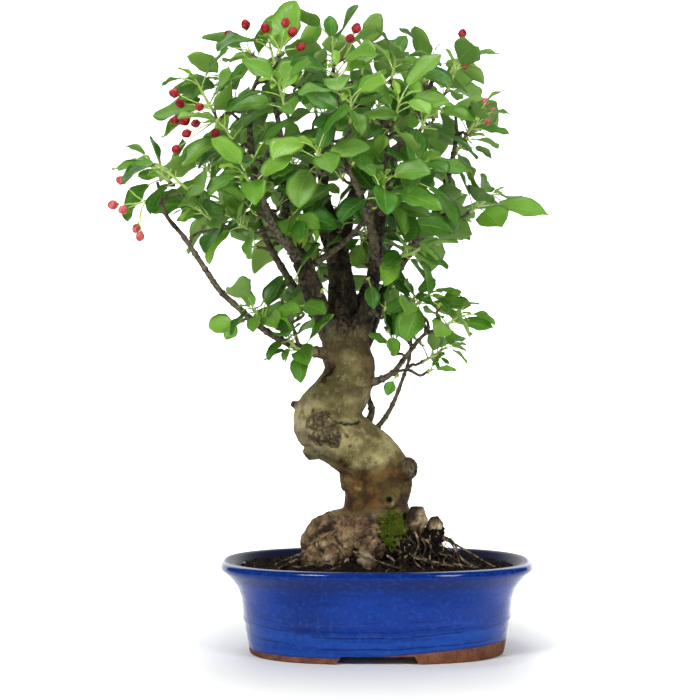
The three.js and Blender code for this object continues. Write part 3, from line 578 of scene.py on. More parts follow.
# %% [markdown]
# ## The soil
#
# Bonsai soil is a loose mix of dark crumbs, bark and grit, heaped a little towards the trunk. We
# start from a round grid that fills the pot, raise it by the same formula that the frame uses, and
# roughen it. Then crumbs, each a small lump with a few faces, are strewn over it.

# %% The soil's surface
SOIL_EDGE, MOUND, SPREAD = 68.5, 9, 62
ROOT_BALL = 11  # how much higher the soil stands where it clings to the roots on the right
CLEAR = 0.3


def soil_height(x, y):
    heap = MOUND * math.exp(-(x * x + y * y) / SPREAD ** 2)
    heap += ROOT_BALL * math.exp(-((x - 34) / 24) ** 2 - ((y + 8) / 22) ** 2)
    return SOIL_EDGE + heap + 0.6 * math.sin(x / 9) * math.cos(y / 7)


def crumbly(x, y):
    return (1.6 * noise.noise(Vector((x / 6, y / 6, 0)))
            + 0.8 * noise.noise(Vector((x / 2.2, y / 2.2, 4))))


def inside_step(z):
    """How far the pot's inner wall is stepped in at height z."""
    heights, steps = zip(*reversed(INSIDE[1:]))
    return float(np.interp(z, heights, steps))


SOIL_LOW, SOIL_RINGS = 20, 30
edge_step = inside_step(SOIL_EDGE) + 2 * CLEAR
levels = [(SOIL_LOW, inside_step(SOIL_LOW) + CLEAR), (56, 22 + CLEAR), (SOIL_EDGE, edge_step)]
soil = first_ring("potting_soil", SOIL_SIDES, *levels[0])
climb(levels)
shares = [1 - k / SOIL_RINGS for k in range(SOIL_RINGS)]
for before, after in zip(shares, shares[1:]):
    extrude((0, 0, 0))
    bpy.ops.transform.resize(value=(after / before,) * 2 + (1,), center_override=(0, 0, 0))
close_shell()
for vertex in soil.data.vertices:
    x, y, z = vertex.co / MM
    if z > SOIL_EDGE - 0.01:
        vertex.co.z = (soil_height(x, y) + crumbly(x, y)) * MM
smooth(soil)
print("soil:", len(soil.data.polygons), "faces")

# %% [markdown]
# ## The wood
#
# The trunk is one old piece of wood: it rises from swollen roots, leans to the left, folds over at
# the elbow and goes back up into the crown. We lay a round rod along each of its routes, let a
# voxel remesh melt the rods into one skin, and then work that skin like clay: wrinkles, the burr,
# the scars. Thin branches are rods of their own, because a remesh would swallow them.

# %% Routes of the wood, as x, y, z and radius in millimetres
TRUNK_LOWER = [
    (-2, 2, 52, 26), (-2, 2, 72, 34), (-1, 1, 90, 33), (0, 0, 109, 28.6), (0, 0, 126, 26.6),
    (3, 0, 141, 27.5), (-2, -1, 155, 26), (-15, -3, 167, 25), (-30, -5, 178, 26),
    (-43, -6, 186, 26.4), (-52, -7, 190, 20)]
TRUNK_UPPER = [
    (-48, -6, 182, 18), (-43, -5, 198, 23.6), (-31, -2, 211, 23.4), (-25, 0, 223, 22.8),
    (-23, 2, 235, 22.2), (-25, 3, 247, 21), (-28, 5, 261, 18.6), (-31, 7, 280, 14)]
FLARE = [(222, 56, 15), (262, 56, 15), (300, 57, 12), (338, 62, 12), (12, 56, 13), (58, 52, 13),
         (104, 54, 14), (150, 58, 13)]  # bearing, reach and radius of each buttress root
BULGE = [(-12, 0, 104, 18), (-33, -10, 98, 19.5), (-45, -13, 89, 18), (-49, -14, 68, 13)]
ELBOW = [(-45, -5, 204, 19), (-49, -6, 196, 20), (-49, -6, 187, 20.5), (-45, -6, 178, 19)]
RIGHT_SIDE = [(12, 0, 146, 19), (9.5, 0, 134, 19), (7, 0, 118, 19)]
LEFT_SIDE = [(-19, -3, 153, 12), (-19.5, -3, 146, 12), (-17, -3, 136, 12)]
SURFACE_ROOTS = [
    [(30, -22, 104, 3.4), (34, -34, 92, 2.6), (30, -50, 80, 2.2), (38, -66, 73, 1.8)],
    [(40, -6, 100, 3.2), (62, -12, 92, 2.6), (70, -26, 78, 2.2), (84, -40, 71, 1.7)],
    [(12, -24, 94, 3.4), (32, -46, 81, 2.6), (58, -46, 75, 2.2), (84, -22, 71, 1.8)],
    [(42, 8, 98, 3), (68, 8, 86, 2.4), (84, 2, 77, 2), (98, -16, 70, 1.7)],
    [(-34, -16, 104, 3.6), (-32, -42, 94, 2.8), (-12, -54, 84, 2.4), (18, -62, 74, 2)],
    [(-36, -12, 92, 3.6), (-62, -20, 82, 2.6), (-78, -36, 72, 1.8)]]
STUMPS = [
    [(14, -4, 148, 11), (22, -13, 151, 10), (27.5, -20, 153, 9.3)],
    [(22, -16, 90, 9), (31, -20, 104, 8.8), (33, -20, 115, 8), (33, -20, 121, 5)],
    [(34, -8, 82, 9), (46, -11, 95, 8.4), (48, -12, 106, 7), (47, -12, 111.5, 4.5)],
    [(-60, -6, 202, 5), (-66, -7, 204, 4), (-71, -8, 206, 2.8)],
    [(-44, -12, 168, 8), (-54, -14, 165, 7), (-59, -15, 162, 5)]]
BURR = [
    [(-44, -20, 186, 13), (-45, -27, 186, 12.5), (-46, -31.5, 186, 8)],
    [(-34, -18, 190, 8), (-33, -26, 191, 7), (-33, -29, 191, 3.6)],
    [(9, -14, 126, 9), (10, -26, 126, 7.6), (10, -28.5, 126, 4.2)]]
BRANCHES = {
    "leftLimb": [
        (-32, -2, 256, 12.4), (-45, -8, 278, 9.4), (-54, -12, 301, 8.8), (-62, -16, 323, 7.8),
        (-73, -19, 340, 6), (-88, -24, 360, 4.4), (-97, -28, 378, 3.6), (-102, -34, 405, 2.9),
        (-104, -38, 433, 2.4), (-104, -40, 457, 1.8)],
    "leftUpright": [
        (-72, -18, 338, 4), (-76, -4, 372, 3.2), (-77, 6, 407, 2.8), (-83, 10, 445, 2.2),
        (-92, 12, 484, 1.6)],
    "leader": [
        (-30, 5, 262, 16.4), (-29, 10, 289, 13), (-30, 14, 315, 10.6), (-33, 16, 337, 9),
        (-39, 18, 360, 7), (-45, 16, 384, 5.4), (-42, 10, 412, 4.2), (-36, 4, 443, 3.3),
        (-34, 0, 460, 2.4), (-38, -2, 474, 1.6)],
    "innerRight": [
        (-31, 16, 330, 7.6), (-25, 24, 358, 6.2), (-18, 32, 386, 5.2), (-7, 36, 414, 4.3),
        (7, 34, 440, 3.4), (13, 30, 466, 2.2)],
    "topRight": [
        (-18, 32, 386, 4.4), (6, 46, 405, 3.8), (25, 44, 433, 3.2), (40, 30, 462, 2.4),
        (48, 16, 478, 1.7)],
    "rightLimb": [
        (-16, 2, 256, 9), (-6, -5, 290, 6.6), (-1, -12, 324, 5.8), (2, -20, 354, 5),
        (5, -30, 378, 3.8), (9, -40, 402, 3), (6, -52, 430, 2)],
    "farRight": [
        (-12, 8, 252, 7.6), (0, 24, 282, 5.4), (11, 36, 307, 4.6), (28, 44, 334, 4.2),
        (46, 46, 358, 3.8), (57, 42, 382, 3.2), (64, 30, 408, 2.4), (68, 12, 432, 1.7)],
    "slantTwig": [(-59, -14, 316, 3), (-24, -28, 341, 2.3), (-2, -44, 366, 1.7)],
    "lowLeft": [
        (-36, -6, 246, 6.4), (-57, -22, 250, 4), (-76, -34, 257, 3.4), (-94, -44, 268, 3.1),
        (-111, -52, 283, 2.9), (-127, -56, 298, 2.8), (-140, -58, 317, 2.6), (-156, -57, 341, 2.3),
        (-171, -54, 360, 1.9), (-178, -51, 386, 1.4)],
    "lowRight": [
        (-14, 0, 221, 5.6), (2, -9, 225, 3.6), (14, -14, 232, 2.7), (25, -22, 246, 2.4),
        (38, -30, 262, 1.8), (50, -37, 267, 1.4)],
    "backRight": [
        (-12, 14, 170, 5), (1, 22, 184, 3.2), (12, 25, 200, 2.7), (21, 18, 222, 2.2),
        (28, 8, 245, 1.9), (29, -4, 268, 1.5)],
    "backStub": [(-16, 12, 178, 5.4), (-4, 20, 196, 3.6), (-8, 32, 214, 2.6)],
    "backLimb": [
        (-29, 14, 290, 7.4), (-37, 44, 325, 5), (-47, 68, 361, 4), (-55, 80, 402, 2.9),
        (-55, 80, 440, 1.8)],
    "backRightLimb": [
        (-20, 12, 276, 6.6), (-3, 48, 312, 4.6), (13, 66, 348, 3.6), (20, 78, 388, 2.8),
        (8, 80, 434, 1.8)],
    "backLeftLimb": [
        (-34, 14, 252, 5.6), (-54, 52, 282, 4), (-78, 68, 316, 3.2), (-98, 72, 354, 2.4),
        (-104, 72, 388, 1.6)],
    "frontLeft": [
        (-61, -16, 322, 5), (-72, -46, 336, 3.8), (-86, -64, 354, 3), (-94, -76, 386, 2.2),
        (-84, -74, 416, 1.6)],
    "frontMiddle": [(-1, -12, 324, 4.2), (-4, -56, 346, 3.4), (-14, -80, 374, 2.7),
                    (-28, -92, 402, 1.8)]}


# %% A smooth line through a route's points
def through(route, t):
    """The point and radius at t, from 0 to 1, of the smooth line through the route."""
    points = np.asarray(route, dtype=float)
    last = len(points) - 1
    i = min(int(math.floor(last * t)), last - 1)
    w = last * t - i
    before = points[i - 1] if i > 0 else 2 * points[0] - points[1]
    after = points[i + 2] if i + 2 <= last else 2 * points[last] - points[last - 1]
    start, end = points[i], points[i + 1]
    m0, m1 = 0.5 * (end - before), 0.5 * (after - start)
    made = (start + m0 * w + (-3 * start + 3 * end - 2 * m0 - m1) * w ** 2
            + (2 * start - 2 * end + m0 + m1) * w ** 3)
    return made[:3], start[3] + (end[3] - start[3]) * w


def flare_route(bearing, reach, radius):
    """A buttress root that runs down and out from the trunk's foot."""
    a = math.radians(bearing)

    def at(r, z, size):
        return (r * math.cos(a), 0.86 * r * math.sin(a), z, size)

    return [at(0.14 * reach, 112, radius), at(0.52 * reach, 96, 0.95 * radius),
            at(0.82 * reach, 82, 0.72 * radius), at(1.05 * reach, 66, 0.42 * radius)]


def rods(name, stretches, spacing, sides, knots=0.0):
    """One mesh of round rods with closed ends. Each stretch is a route and the part of it that
    the rod follows. knots is how much the rod swells where old leaves have left their rings."""
    deselect()
    bpy.ops.curve.primitive_nurbs_path_add()
    made = named(name)
    made.data.splines.clear()
    made.data.dimensions = "3D"
    for number, (route, start, end) in enumerate(stretches):
        steps = np.linalg.norm(np.diff(np.asarray(route, dtype=float)[:, :3], axis=0), axis=1)
        count = max(3, int(steps.sum() * (end - start) / spacing))
        line = made.data.splines.new("POLY")
        line.points.add(count)
        for k in range(count + 1):
            point, radius = through(route, start + (end - start) * k / count)
            swell = 1 + 0.35 * knots * noise.noise(Vector((number * 7.3, k * spacing / 3, 0)))
            ring = (k * spacing + 5 * number) % 13 / 13
            swell += knots * math.exp(-((ring - 0.5) / 0.07) ** 2)
            line.points[k].co = (*place(*point), 1)
            line.points[k].radius = radius * swell * MM
    made.data.bevel_depth = 1.0
    made.data.bevel_resolution = (sides - 4) // 2
    made.data.use_fill_caps = True
    bpy.ops.object.convert(target="MESH")
    return bpy.context.object


def close_ends(piece):
    """Merges the end faces of each rod with its wall, so that every rod is one closed shell."""
    edit_whole(piece)
    bpy.ops.mesh.remove_doubles(threshold=0.001 * MM)
    close_shell()


def thins_out(route, radius):
    """How far along its route a branch becomes thinner than this."""
    for k in range(101):
        if through(route, k / 100)[1] < radius:
            return k / 100
    return 1.0


# %% Melt the thick rods into one trunk
MELTED = 4.3  # branches are melted into the trunk as far as they are thicker than this
whole = [TRUNK_LOWER, TRUNK_UPPER, BULGE, ELBOW, RIGHT_SIDE, LEFT_SIDE, *STUMPS, *BURR]
whole += [flare_route(*root) for root in FLARE]
thick = [(route, 0, 1) for route in whole]
thick += [(route, 0, thins_out(route, MELTED)) for route in BRANCHES.values()
          if thins_out(route, MELTED) > 0.05]
trunk = rods("trunk", thick, spacing=4.0, sides=16)
apply_modifier(trunk, "REMESH", mode="VOXEL", voxel_size=1.22 * MM)
apply_modifier(trunk, "SMOOTH", factor=0.5, iterations=7)
report(trunk)

# %% [markdown]
# ## Sculpting the bark
#
# A sculptor would push and pull the surface along its normals, and so do we, with formulas in
# place of brushes. Each mark is a number per vertex: how deep it goes, and which kind of bark it
# is. The same numbers are painted on the mesh, so that the material can follow the shape: the
# crusty burr, the dark wound, the rusty belt above the roots, the cut stub and the pale scars.
# Some marks paint shade into the colour: hollows, creases, grooves and undersides are darkened.


# %% Brushes
def in_mm(piece):
    return (corners_of(piece) - [POT_X, POT_Y, 0]) / MM


def normals_of(piece):
    return triples(piece.data.vertex_normals, "vector")


def push(piece, depth):
    """Moves each vertex along its normal by depth millimetres."""
    moved = in_mm(piece) + normals_of(piece) * np.asarray(depth)[:, None]
    piece.data.vertices.foreach_set("co", places(moved).ravel())
    piece.data.update()


def bumps(points, size, shift=0.0, stretch=(1, 1, 1)):
    """Smooth random bumps about size millimetres across, from -1 to 1."""
    scaled = points / (size * np.asarray(stretch)) + shift
    return np.array([noise.noise(Vector(point)) for point in scaled])


def near(points, centre, size):
    """1 at the centre, falling to 0 at the edge of an egg of these half sizes."""
    away = np.linalg.norm((points - np.asarray(centre)) / np.asarray(size), axis=1)
    return 1 - smoothstep(0.25, 1, away)


def stroke(points, facing, line, width):
    """1 along a line of x and z drawn on the front, falling to 0 beside it."""
    line = np.asarray(line, dtype=float)
    spots = np.concatenate([a + (b - a) * np.linspace(0, 1, 14)[:, None]
                            for a, b in zip(line, line[1:])])
    away = np.hypot(points[:, :1] - spots[:, 0], points[:, 2:] - spots[:, 1]).min(axis=1)
    return (1 - smoothstep(0.15, 1, away / width)) * smoothstep(0.1, -0.35, facing[:, 1])


def blot(points, facing, eggs, size, shift):
    """A ragged patch on the front: eggs of centre x, z and half sizes, torn by noise."""
    shape = np.max([near(points, (x, -22, z), (wide, 26, high)) for x, z, wide, high in eggs],
                   axis=0)
    torn = shape + 0.45 * bumps(points, size, shift)
    return smoothstep(0.28, 0.5, torn) * (shape > 0) * smoothstep(0.15, -0.3, facing[:, 1])


def nodules(points, where, size):
    """Lumps about size millimetres across with grooves between them, from 0 to 1."""
    made = np.zeros(len(points))
    for i in np.nonzero(where > 0.02)[0]:
        away = noise.voronoi(Vector(points[i] / size))[0]
        made[i] = away[1] - away[0]
    return smoothstep(0.02, 0.42, made)


# %% Where each kind of bark lies
wood = in_mm(trunk)
facing = normals_of(trunk)
x, y, z = wood.T
drift = bumps(wood, 16) * 9
front = smoothstep(0.2, -0.3, facing[:, 1])

rough = smoothstep(244, 274, z + 1.3 * drift)
old = smoothstep(121, 112, z + 0.5 * drift - 0.05 * x)
rust_top = np.interp(x, [-40, -34, -14, 8, 27], [162, 158, 149, 155, 162])
rust = smoothstep(rust_top + 7, rust_top - 4, z + 6 * bumps(wood, 8, 19) + 0.25 * drift) * (1 - old)
rust *= smoothstep(-38, -27, x)
crust = blot(wood, facing, [(-47, 190, 15, 16), (-43, 181, 19, 14), (-37, 178, 14, 12)], 6, 3)
wound = blot(wood, facing, [(-39.5, 237, 7, 4.5), (-41, 232, 6, 6), (-44, 226, 4, 6)], 7, 87)
ashen = np.maximum(near(wood, (-62, -8, 195), (17, 60, 36)),
                   0.8 * near(wood, (-52, -22, 168), (20, 40, 12)))
umber = np.maximum.reduce([
    near(wood, (-2, -4, 240), (24, 60, 38)), 0.8 * near(wood, (-20, -24, 216), (24, 30, 8)),
    0.75 * near(wood, (-38, -10, 246), (16, 60, 24)),
    blot(wood, facing, [(-29.5, 157.5, 6, 4.4)], 3, 89)])
STUB_AXIS = np.array([0.65, -0.74, 0.2])
STUB_END = np.array([28.5, -21.5, 153.5])
stub_face = near(wood, STUB_END, (13, 13, 13)) * smoothstep(0.62, 0.86, facing @ STUB_AXIS)
stub_face = smoothstep(0.1, 0.6, stub_face)
chips = 0.4 * blot(wood, facing, [(13, 124, 2.2, 3)], 1.6, 13)
chips += 0.6 * blot(wood, facing, [(-17.5, 136, 2.6, 1.8), (-14.5, 135.5, 2.2, 1.6)], 1.8, 15)
for *spot, wide in [(-41, -42, 77, 8), (-11, -44, 80, 11), (-46, -32, 90, 5), (-20, -44, 88, 5)]:
    chips += 0.75 * near(wood, spot, (wide, 16, 0.8 * wide))
speckled = smoothstep(-0.6, 0.15, bumps(wood, 4, 21))
for stump_side in ((39, -28, 112), (53, -18, 104)):
    chips += 0.95 * near(wood, stump_side, (9, 16, 12)) * speckled
moss_zone = (near(wood, (15, -26, 101), (17, 26, 19))
             * smoothstep(-0.2, 0.2, 0.35 + bumps(wood, 9, 7)))
shade_zone = np.maximum.reduce([
    near(wood, (3, -34, 92), (12, 26, 26)), near(wood, (30, -24, 80), (30, 30, 20)),
    near(wood, (23, -28, 110), (6, 20, 12))])
shade_zone *= smoothstep(-0.25, 0.15, 0.1 + bumps(wood, 8, 9))

# %% How deep the marks go
wobbly = wood + 1.3 * np.stack([bumps(wood, 3.5, 91), 0 * x, bumps(wood, 3.5, 93)], axis=1)
lumps = nodules(wobbly, crust, 8.5)
relief = 0.8 * bumps(wood, 15, 1) + 0.5 * bumps(wood, 6, 2) + 0.2 * bumps(wood, 2.6, 5)
furrow = 1 - np.abs(bumps(wood, 4.2, 23, (1, 1, 3.6))) * 3.2
relief -= 2.1 * rough * smoothstep(0.2, 0.95, furrow)
relief += 0.5 * rough * bumps(wood, 3.2, 29)
root_furrow = 1 - np.abs(bumps(wobbly, 9, 31, (1.5, 1.5, 1))) * 3.4
relief -= 1.6 * old * smoothstep(0.5, 0.95, root_furrow)
relief += old * (3.4 * bumps(wood, 15, 37) + 1.4 * bumps(wood, 6, 39) + 0.3 * bumps(wood, 2.8, 41))
relief -= 0.45 * rust * smoothstep(0.6, 1, 1 - np.abs(bumps(wood, 9, 43, (1.6, 1.6, 0.6))) * 3)
relief += crust * (1.9 * lumps + 0.2 + 0.5 * bumps(wood, 2.6, 17))
relief -= 1.3 * wound + 2.0 * near(wood, (-46, -12, 235), (14, 34, 8))
relief += 1.6 * near(wood, (-47, -20, 222), (6, 16, 8)) * front
for level, sag, depth in ((222, 0.05, 0.9), (218, 0.12, 1.1), (213, 0.2, 0.5), (234, -0.1, 0.4)):
    belt = np.exp(-((z - level - sag * (x + 20) - 0.12 * drift) / 1.2) ** 2)
    relief -= depth * belt * smoothstep(-40, -26, x) * smoothstep(238, 230, z)
crease = stroke(wobbly, facing, [(-34, 191), (-27, 190), (-21, 189), (-15, 191)], 1.9)
crease = np.maximum(crease, 0.8 * stroke(wobbly, facing, [(-31, 187), (-26, 182), (-24, 178)], 1.7))
seam = stroke(wobbly, facing, [(-26, 153), (-18, 149), (-8, 150), (0, 154)], 2.4)
relief -= 2.0 * crease + 0.5 * seam
relief += 1.3 * stroke(wobbly, facing, [(-34, 188.5), (-29, 185.5), (-25, 181)], 3.2)
hole = near(wood, (10, -31, 127), (3.6, 9, 3.4))
relief -= 5.5 * hole
dots = np.maximum.reduce([
    near(wood, (-0.9, -27, 157.3), (2.2, 9, 1.9)), near(wood, (-29.7, -26, 157), (2.6, 9, 2.4)),
    near(wood, (-22, -30, 171), (2.2, 12, 1.8))])
relief -= 1.1 * dots
ring_scar = np.abs(np.hypot(x + 19, z - 107) - 6.5)
relief += 0.7 * old * front * np.exp(-(ring_scar / 1.4) ** 2)
cavity = near(wood, (-41, -34, 104), (8, 16, 5)) * front
relief -= 3.2 * cavity
relief -= stub_face * (1.7 + 0.9 * bumps(wood, 3, 51))
push(trunk, relief)

# %% Paint the marks on the trunk
broad = bumps(wood, 24, 61)
paint(trunk, "rough", rough)
paint(trunk, "old", old)
paint(trunk, "rust", rust * np.clip(0.95 + 0.3 * broad, 0, 1))
paint(trunk, "crust", crust)
paint(trunk, "ashen", ashen * smoothstep(-0.5, 0.3, bumps(wood, 10, 63)))
paint(trunk, "umber", umber)
paint(trunk, "pale", np.clip(chips + 0.5 * stub_face * (0.7 + bumps(wood, 3, 53)), 0, 1))
# Painted shade: the hole, the creases, the seam, the cavity, the dents and the shaded hollow beside
# the moss are darkened.
shade_and_dark = 1.2 * hole + 0.85 * crease + 0.3 * seam + 0.8 * cavity + 0.75 * dots + 0.85 * shade_zone
# Painted shade in the grooves between the burr's lumps; the small knob on the elbow's left is
# darker bark.
shade_and_dark += 0.45 * crust * (1 - lumps) + 1.1 * near(wood, (-71, -8, 206), (8, 20, 7))
# The lower knob is darker, and its underside, like all undersides above the old wood, gets painted
# shade.
shade_and_dark += 0.6 * near(wood, (-58, -10, 166), (12, 34, 9)) * (1 + smoothstep(0.1, -0.5, facing[:, 2]))
shade_and_dark += 0.4 * smoothstep(0.0, -0.8, facing[:, 2]) * (1 - old)
# The stumps are darker at their tops, and the first stump at its left side.
shade_and_dark += 0.95 * near(wood, (30, -20, 123), (12, 16, 8)) + near(wood, (27.5, -28, 116), (9, 18, 11))
shade_and_dark += near(wood, (47, -12, 112), (14, 18, 8))
rim = np.linalg.norm(np.cross(wood - STUB_END, STUB_AXIS), axis=1)
at_stub = near(wood, STUB_END, (15, 14, 15))
cracks = stub_face * smoothstep(0.1, 0.4, bumps(wood, 2.4, 57))
shade_and_dark += at_stub * (0.9 * np.exp(-((rim - 8.2) / 1.3) ** 2) + 0.5 * cracks)
# Painted shade in deep hollows; the wood is also darker towards the soil.
shade_and_dark += np.clip(-relief - 0.75, 0, 1.2) * 0.6 * (1 - wound) + 0.6 * smoothstep(84, 72, z)
paint(trunk, "shade_and_dark", np.clip(shade_and_dark, 0, 1))
paint(trunk, "wound", wound)
paint(trunk, "mossy", moss_zone)
smooth(trunk)
print("trunk relief from", round(relief.min(), 1), "to", round(relief.max(), 1), "mm")

# %% Bark of the trunk: a patchy olive skin, ashen and umber in places
bark = Finish("living_bark")
grain = bark.noise(95, 5, 0.62)
skin = bark.tones(bark.noise(38, 4), 0.35, 0.66, (94, 84, 46), (160, 150, 102))
skin = bark.coat(skin, (92, 94, 48), bark.noise(22, 3), 0.45, 0.7, 0.6)
skin = bark.coat(skin, (84, 70, 44), bark.noise(64, 4), 0.5, 0.64, 0.7)
skin = bark.coat(skin, (52, 42, 24), bark.cells(430), 0.26, 0.1, 0.55)
skin = bark.coat(skin, (74, 66, 38), grain, 0.5, 0.66, 0.5)
skin = bark.coat(skin, (176, 168, 128), bark.noise(170, 5, 0.7), 0.52, 0.64, 0.35)
for mark, low, high, light_tone, dark_tone in (
        ("ashen", 0.4, 0.6, (168, 154, 126), (128, 116, 92)),
        ("umber", 0.4, 0.62, (92, 70, 44), (54, 42, 24))):
    skin = bark.wash(skin, bark.tones(grain, low, high, light_tone, dark_tone),
                     bark.painted(mark), 0.7)

# %% The rusty belt and the old wood of the root base
rusty = bark.tones(grain, 0.38, 0.6, (94, 64, 24), (48, 32, 12))
rusty = bark.coat(rusty, (84, 74, 32), bark.noise(60, 4), 0.5, 0.68, 0.6)
rusty = bark.coat(rusty, (100, 50, 16), bark.noise(34, 4), 0.54, 0.66, 0.7)
skin = bark.mix(bark.painted("rust"), skin, rusty)
aged = bark.tones(grain, 0.36, 0.62, (50, 36, 23), (152, 124, 90))
aged = bark.coat(aged, (164, 138, 104), bark.noise(34, 3), 0.52, 0.62, 0.6)
aged = bark.coat(aged, (52, 36, 24), bark.noise(48, 5), 0.5, 0.6, 0.75)
aged = bark.coat(aged, (124, 82, 58), bark.noise(30, 3), 0.55, 0.66, 0.5)
aged = bark.coat(aged, (160, 140, 108), bark.noise(150, 4), 0.57, 0.72, 0.3)
fissures = bark.ramp(bark.cells(62, "DISTANCE_TO_EDGE", bark.warped(0.03, 48)), 0.05, 0.0)
fissures = bark.times(fissures, bark.ramp(bark.noise(40, 2), 0.42, 0.6))
aged = bark.wash(aged, (20, 14, 9), fissures, 0.75)
skin = bark.mix(bark.painted("old"), skin, aged)

# %% The rough limbs, the burr's crust, and the marks that were painted
limb = bark.tones(grain, 0.36, 0.62, (26, 21, 15), (78, 67, 48))
limb = bark.coat(limb, (108, 96, 74), bark.noise(210, 2), 0.6, 0.7, 0.5)
plates = bark.cells(120, "DISTANCE_TO_EDGE", bark.warped(0.012, 90))
limb = bark.coat(limb, (15, 12, 9), plates, 0.09, 0.0, 0.75)
skin = bark.mix(bark.painted("rough"), skin, limb)
network = bark.cells(150, "DISTANCE_TO_EDGE", bark.warped(0.014, 110))
crumbs = bark.tones(bark.noise(380, 4), 0.35, 0.62, (76, 66, 38), (150, 136, 98))
crumbs = bark.coat(crumbs, (52, 42, 26), network, 0.34, 0.02, 0.7)
skin = bark.mix(bark.painted("crust"), skin, crumbs)
pale_wood = bark.tones(grain, 0.4, 0.6, (140, 120, 88), (200, 184, 152))
skin = bark.mix(bark.painted("pale"), skin, pale_wood)
wound_wood = bark.tones(grain, 0.4, 0.6, (92, 50, 34), (44, 18, 12))
skin = bark.mix(bark.painted("wound"), skin, wound_wood)
# Painted shade and dark bark, from the painted marks, darken the skin.
skin = bark.wash(skin, (17, 13, 9), bark.painted("shade_and_dark"), 0.9)
skin = bark.mix(bark.painted("mossy"), skin, (52, 66, 16))
bark_height = bark.plus(bark.times(grain, 0.7), bark.times(bark.noise(420, 4, 0.6), 0.5))
between_crumbs = bark.times(bark.ramp(network, 0.0, 0.3), bark.painted("crust"))
bark_height = bark.minus(bark.plus(bark_height, between_crumbs),
                         bark.times(fissures, bark.painted("old")))
bark.bump(bark_height, 0.85, 0.0015)
trunk.data.materials.append(bark.finish(skin, bark.ramp(grain, 0.3, 0.7, 0.62, 0.85), 0.22))
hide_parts("trunk_and_branches")
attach(trunk, "root")
report(trunk)

# %% [markdown]
# ## Branches, twigs and spurs
#
# The crown hangs on thin wood: branches bent by wire when they were young, and short spurs with
# rings where leaves once sat. Each spur grows from the nearest branch below its tip. The rule that
# finds its route is the one that the frame was made by, so the fine twigs end where the solid ones
# do and carry the same shoots.

# %% Where the leafy shoots and the buds sit
CROWN_CORE = np.array([-28.0, 0.0, 350.0])
SHOOT_TIPS = [
    (-99, 8, 478), (-82, -40, 478), (-63, 38, 480), (-36, 0, 486), (-32, -54, 458), (-12, 42, 484),
    (12, -22, 472), (40, 30, 476), (58, -14, 464), (-134, -22, 446), (-120, 42, 460),
    (-116, -60, 418), (-73, -74, 440), (-52, 80, 458), (-22, -92, 428), (13, -76, 432),
    (2, 76, 458), (35, -52, 428), (50, 64, 450), (74, -18, 428), (-150, -70, 377),
    (-168, -46, 386), (-138, 34, 398), (-106, 76, 410), (-98, -92, 378), (-70, 96, 408),
    (-46, -102, 394), (-20, 100, 420), (24, 94, 412), (0, -96, 368), (27, -74, 383),
    (68, 42, 418), (-128, -54, 352), (-104, -44, 348), (-60, -40, 247), (-65, 88, 352),
    (-117, 70, 362), (4, -48, 364), (78, 22, 366), (19, -44, 326), (48, 78, 352), (27, -30, 284),
    (56, -38, 270), (38, 0, 240), (-91, -48, 274), (-66, -32, 282)]
AIMED_LEAVES = {
    1: [(-134, 2, 504)], 2: [(-66, -34, 536)], 4: [(-40, 10, 531)], 6: [(-9, 54, 520)],
    7: [(24, -12, 511)], 8: [(52, 26, 503)], 9: [(92, -18, 484)], 10: [(-189, -26, 446)],
    20: [(110, -20, 428)], 22: [(-206, -62, 412)], 33: [(-149, -54, 333)], 35: [(-73, -38, 230)],
    39: [(147, 24, 364), (108, 8, 346)], 41: [(95, 70, 338)],
    42: [(4, -36, 300), (14, -38, 258), (10, -34, 318)], 43: [(95, -42, 268), (66, -40, 303)],
    44: [(66, -6, 233), (13, -8, 213)], 45: [(-114, -50, 302), (-132, -52, 270), (-64, -50, 258)],
    46: [(-50, -36, 262), (-86, -34, 306)]}
UMBELS = [
    ((-131, -38, 450), [(-165, -42, 459), (-161, -30, 452), (-144, -50, 447), (-165, -34, 438),
                        (-156, -46, 436)]),
    ((-126, -54, 438), [(-146, -64, 432), (-154, -54, 425), (-130, -66, 424), (-162, -60, 412)]),
    ((-102, -14, 494), [(-108, -22, 518), (-122, -14, 511), (-128, -6, 502)]),
    ((-80, -58, 486), [(-90, -66, 508), (-74, -62, 513), (-68, -72, 504), (-62, -60, 494)]),
    ((-29, -30, 488), [(-17, -34, 513), (-22, -46, 503), (-7, -36, 500), (-8, -24, 490),
                       (-19, -42, 490)]),
    ((60, 8, 480), [(72, 6, 515), (78, 14, 505), (69, -2, 499), (81, 2, 494), (74, -6, 487)]),
    ((-182, -64, 372), [(-206, -66, 386), (-213, -58, 367), (-203, -74, 362), (-194, -60, 348),
                        (-190, -70, 341)]),
    ((80, -6, 434), [(90, -10, 456), (97, -4, 449), (93, 4, 441)]),
    ((-30, 92, 446), [(-36, 108, 466), (-24, 114, 460), (-40, 116, 452), (-20, 112, 446)])]
LOW = {"below": 300, "scale": 0.9, "lift": 1.1}
LIFT = 0.45
UP = np.array([0.0, 0.0, 1.0])


# %% The rule for the spurs
def array(point):
    return np.array(point, dtype=float)


def unit(vector):
    return vector / np.linalg.norm(vector)


def growth_at(tip):
    """The way a shoot grows at tip: out of the crown, and up."""
    lift = LOW["lift"] if tip[2] < LOW["below"] else LIFT
    return unit(unit(np.asarray(tip) - CROWN_CORE) + lift * UP)


def stations_of(route, each=12):
    """Points along a branch, as place, direction and radius."""
    count = each * (len(route) - 1)
    made = []
    for i in range(count + 1):
        t = i / count
        ahead = through(route, min(1, t + 1e-4))[0] - through(route, max(0, t - 1e-4))[0]
        made.append((*through(route, t), unit(ahead)))
    return made


stations = [station for route in BRANCHES.values() for station in stations_of(route)]
station_places = np.array([station[0] for station in stations])


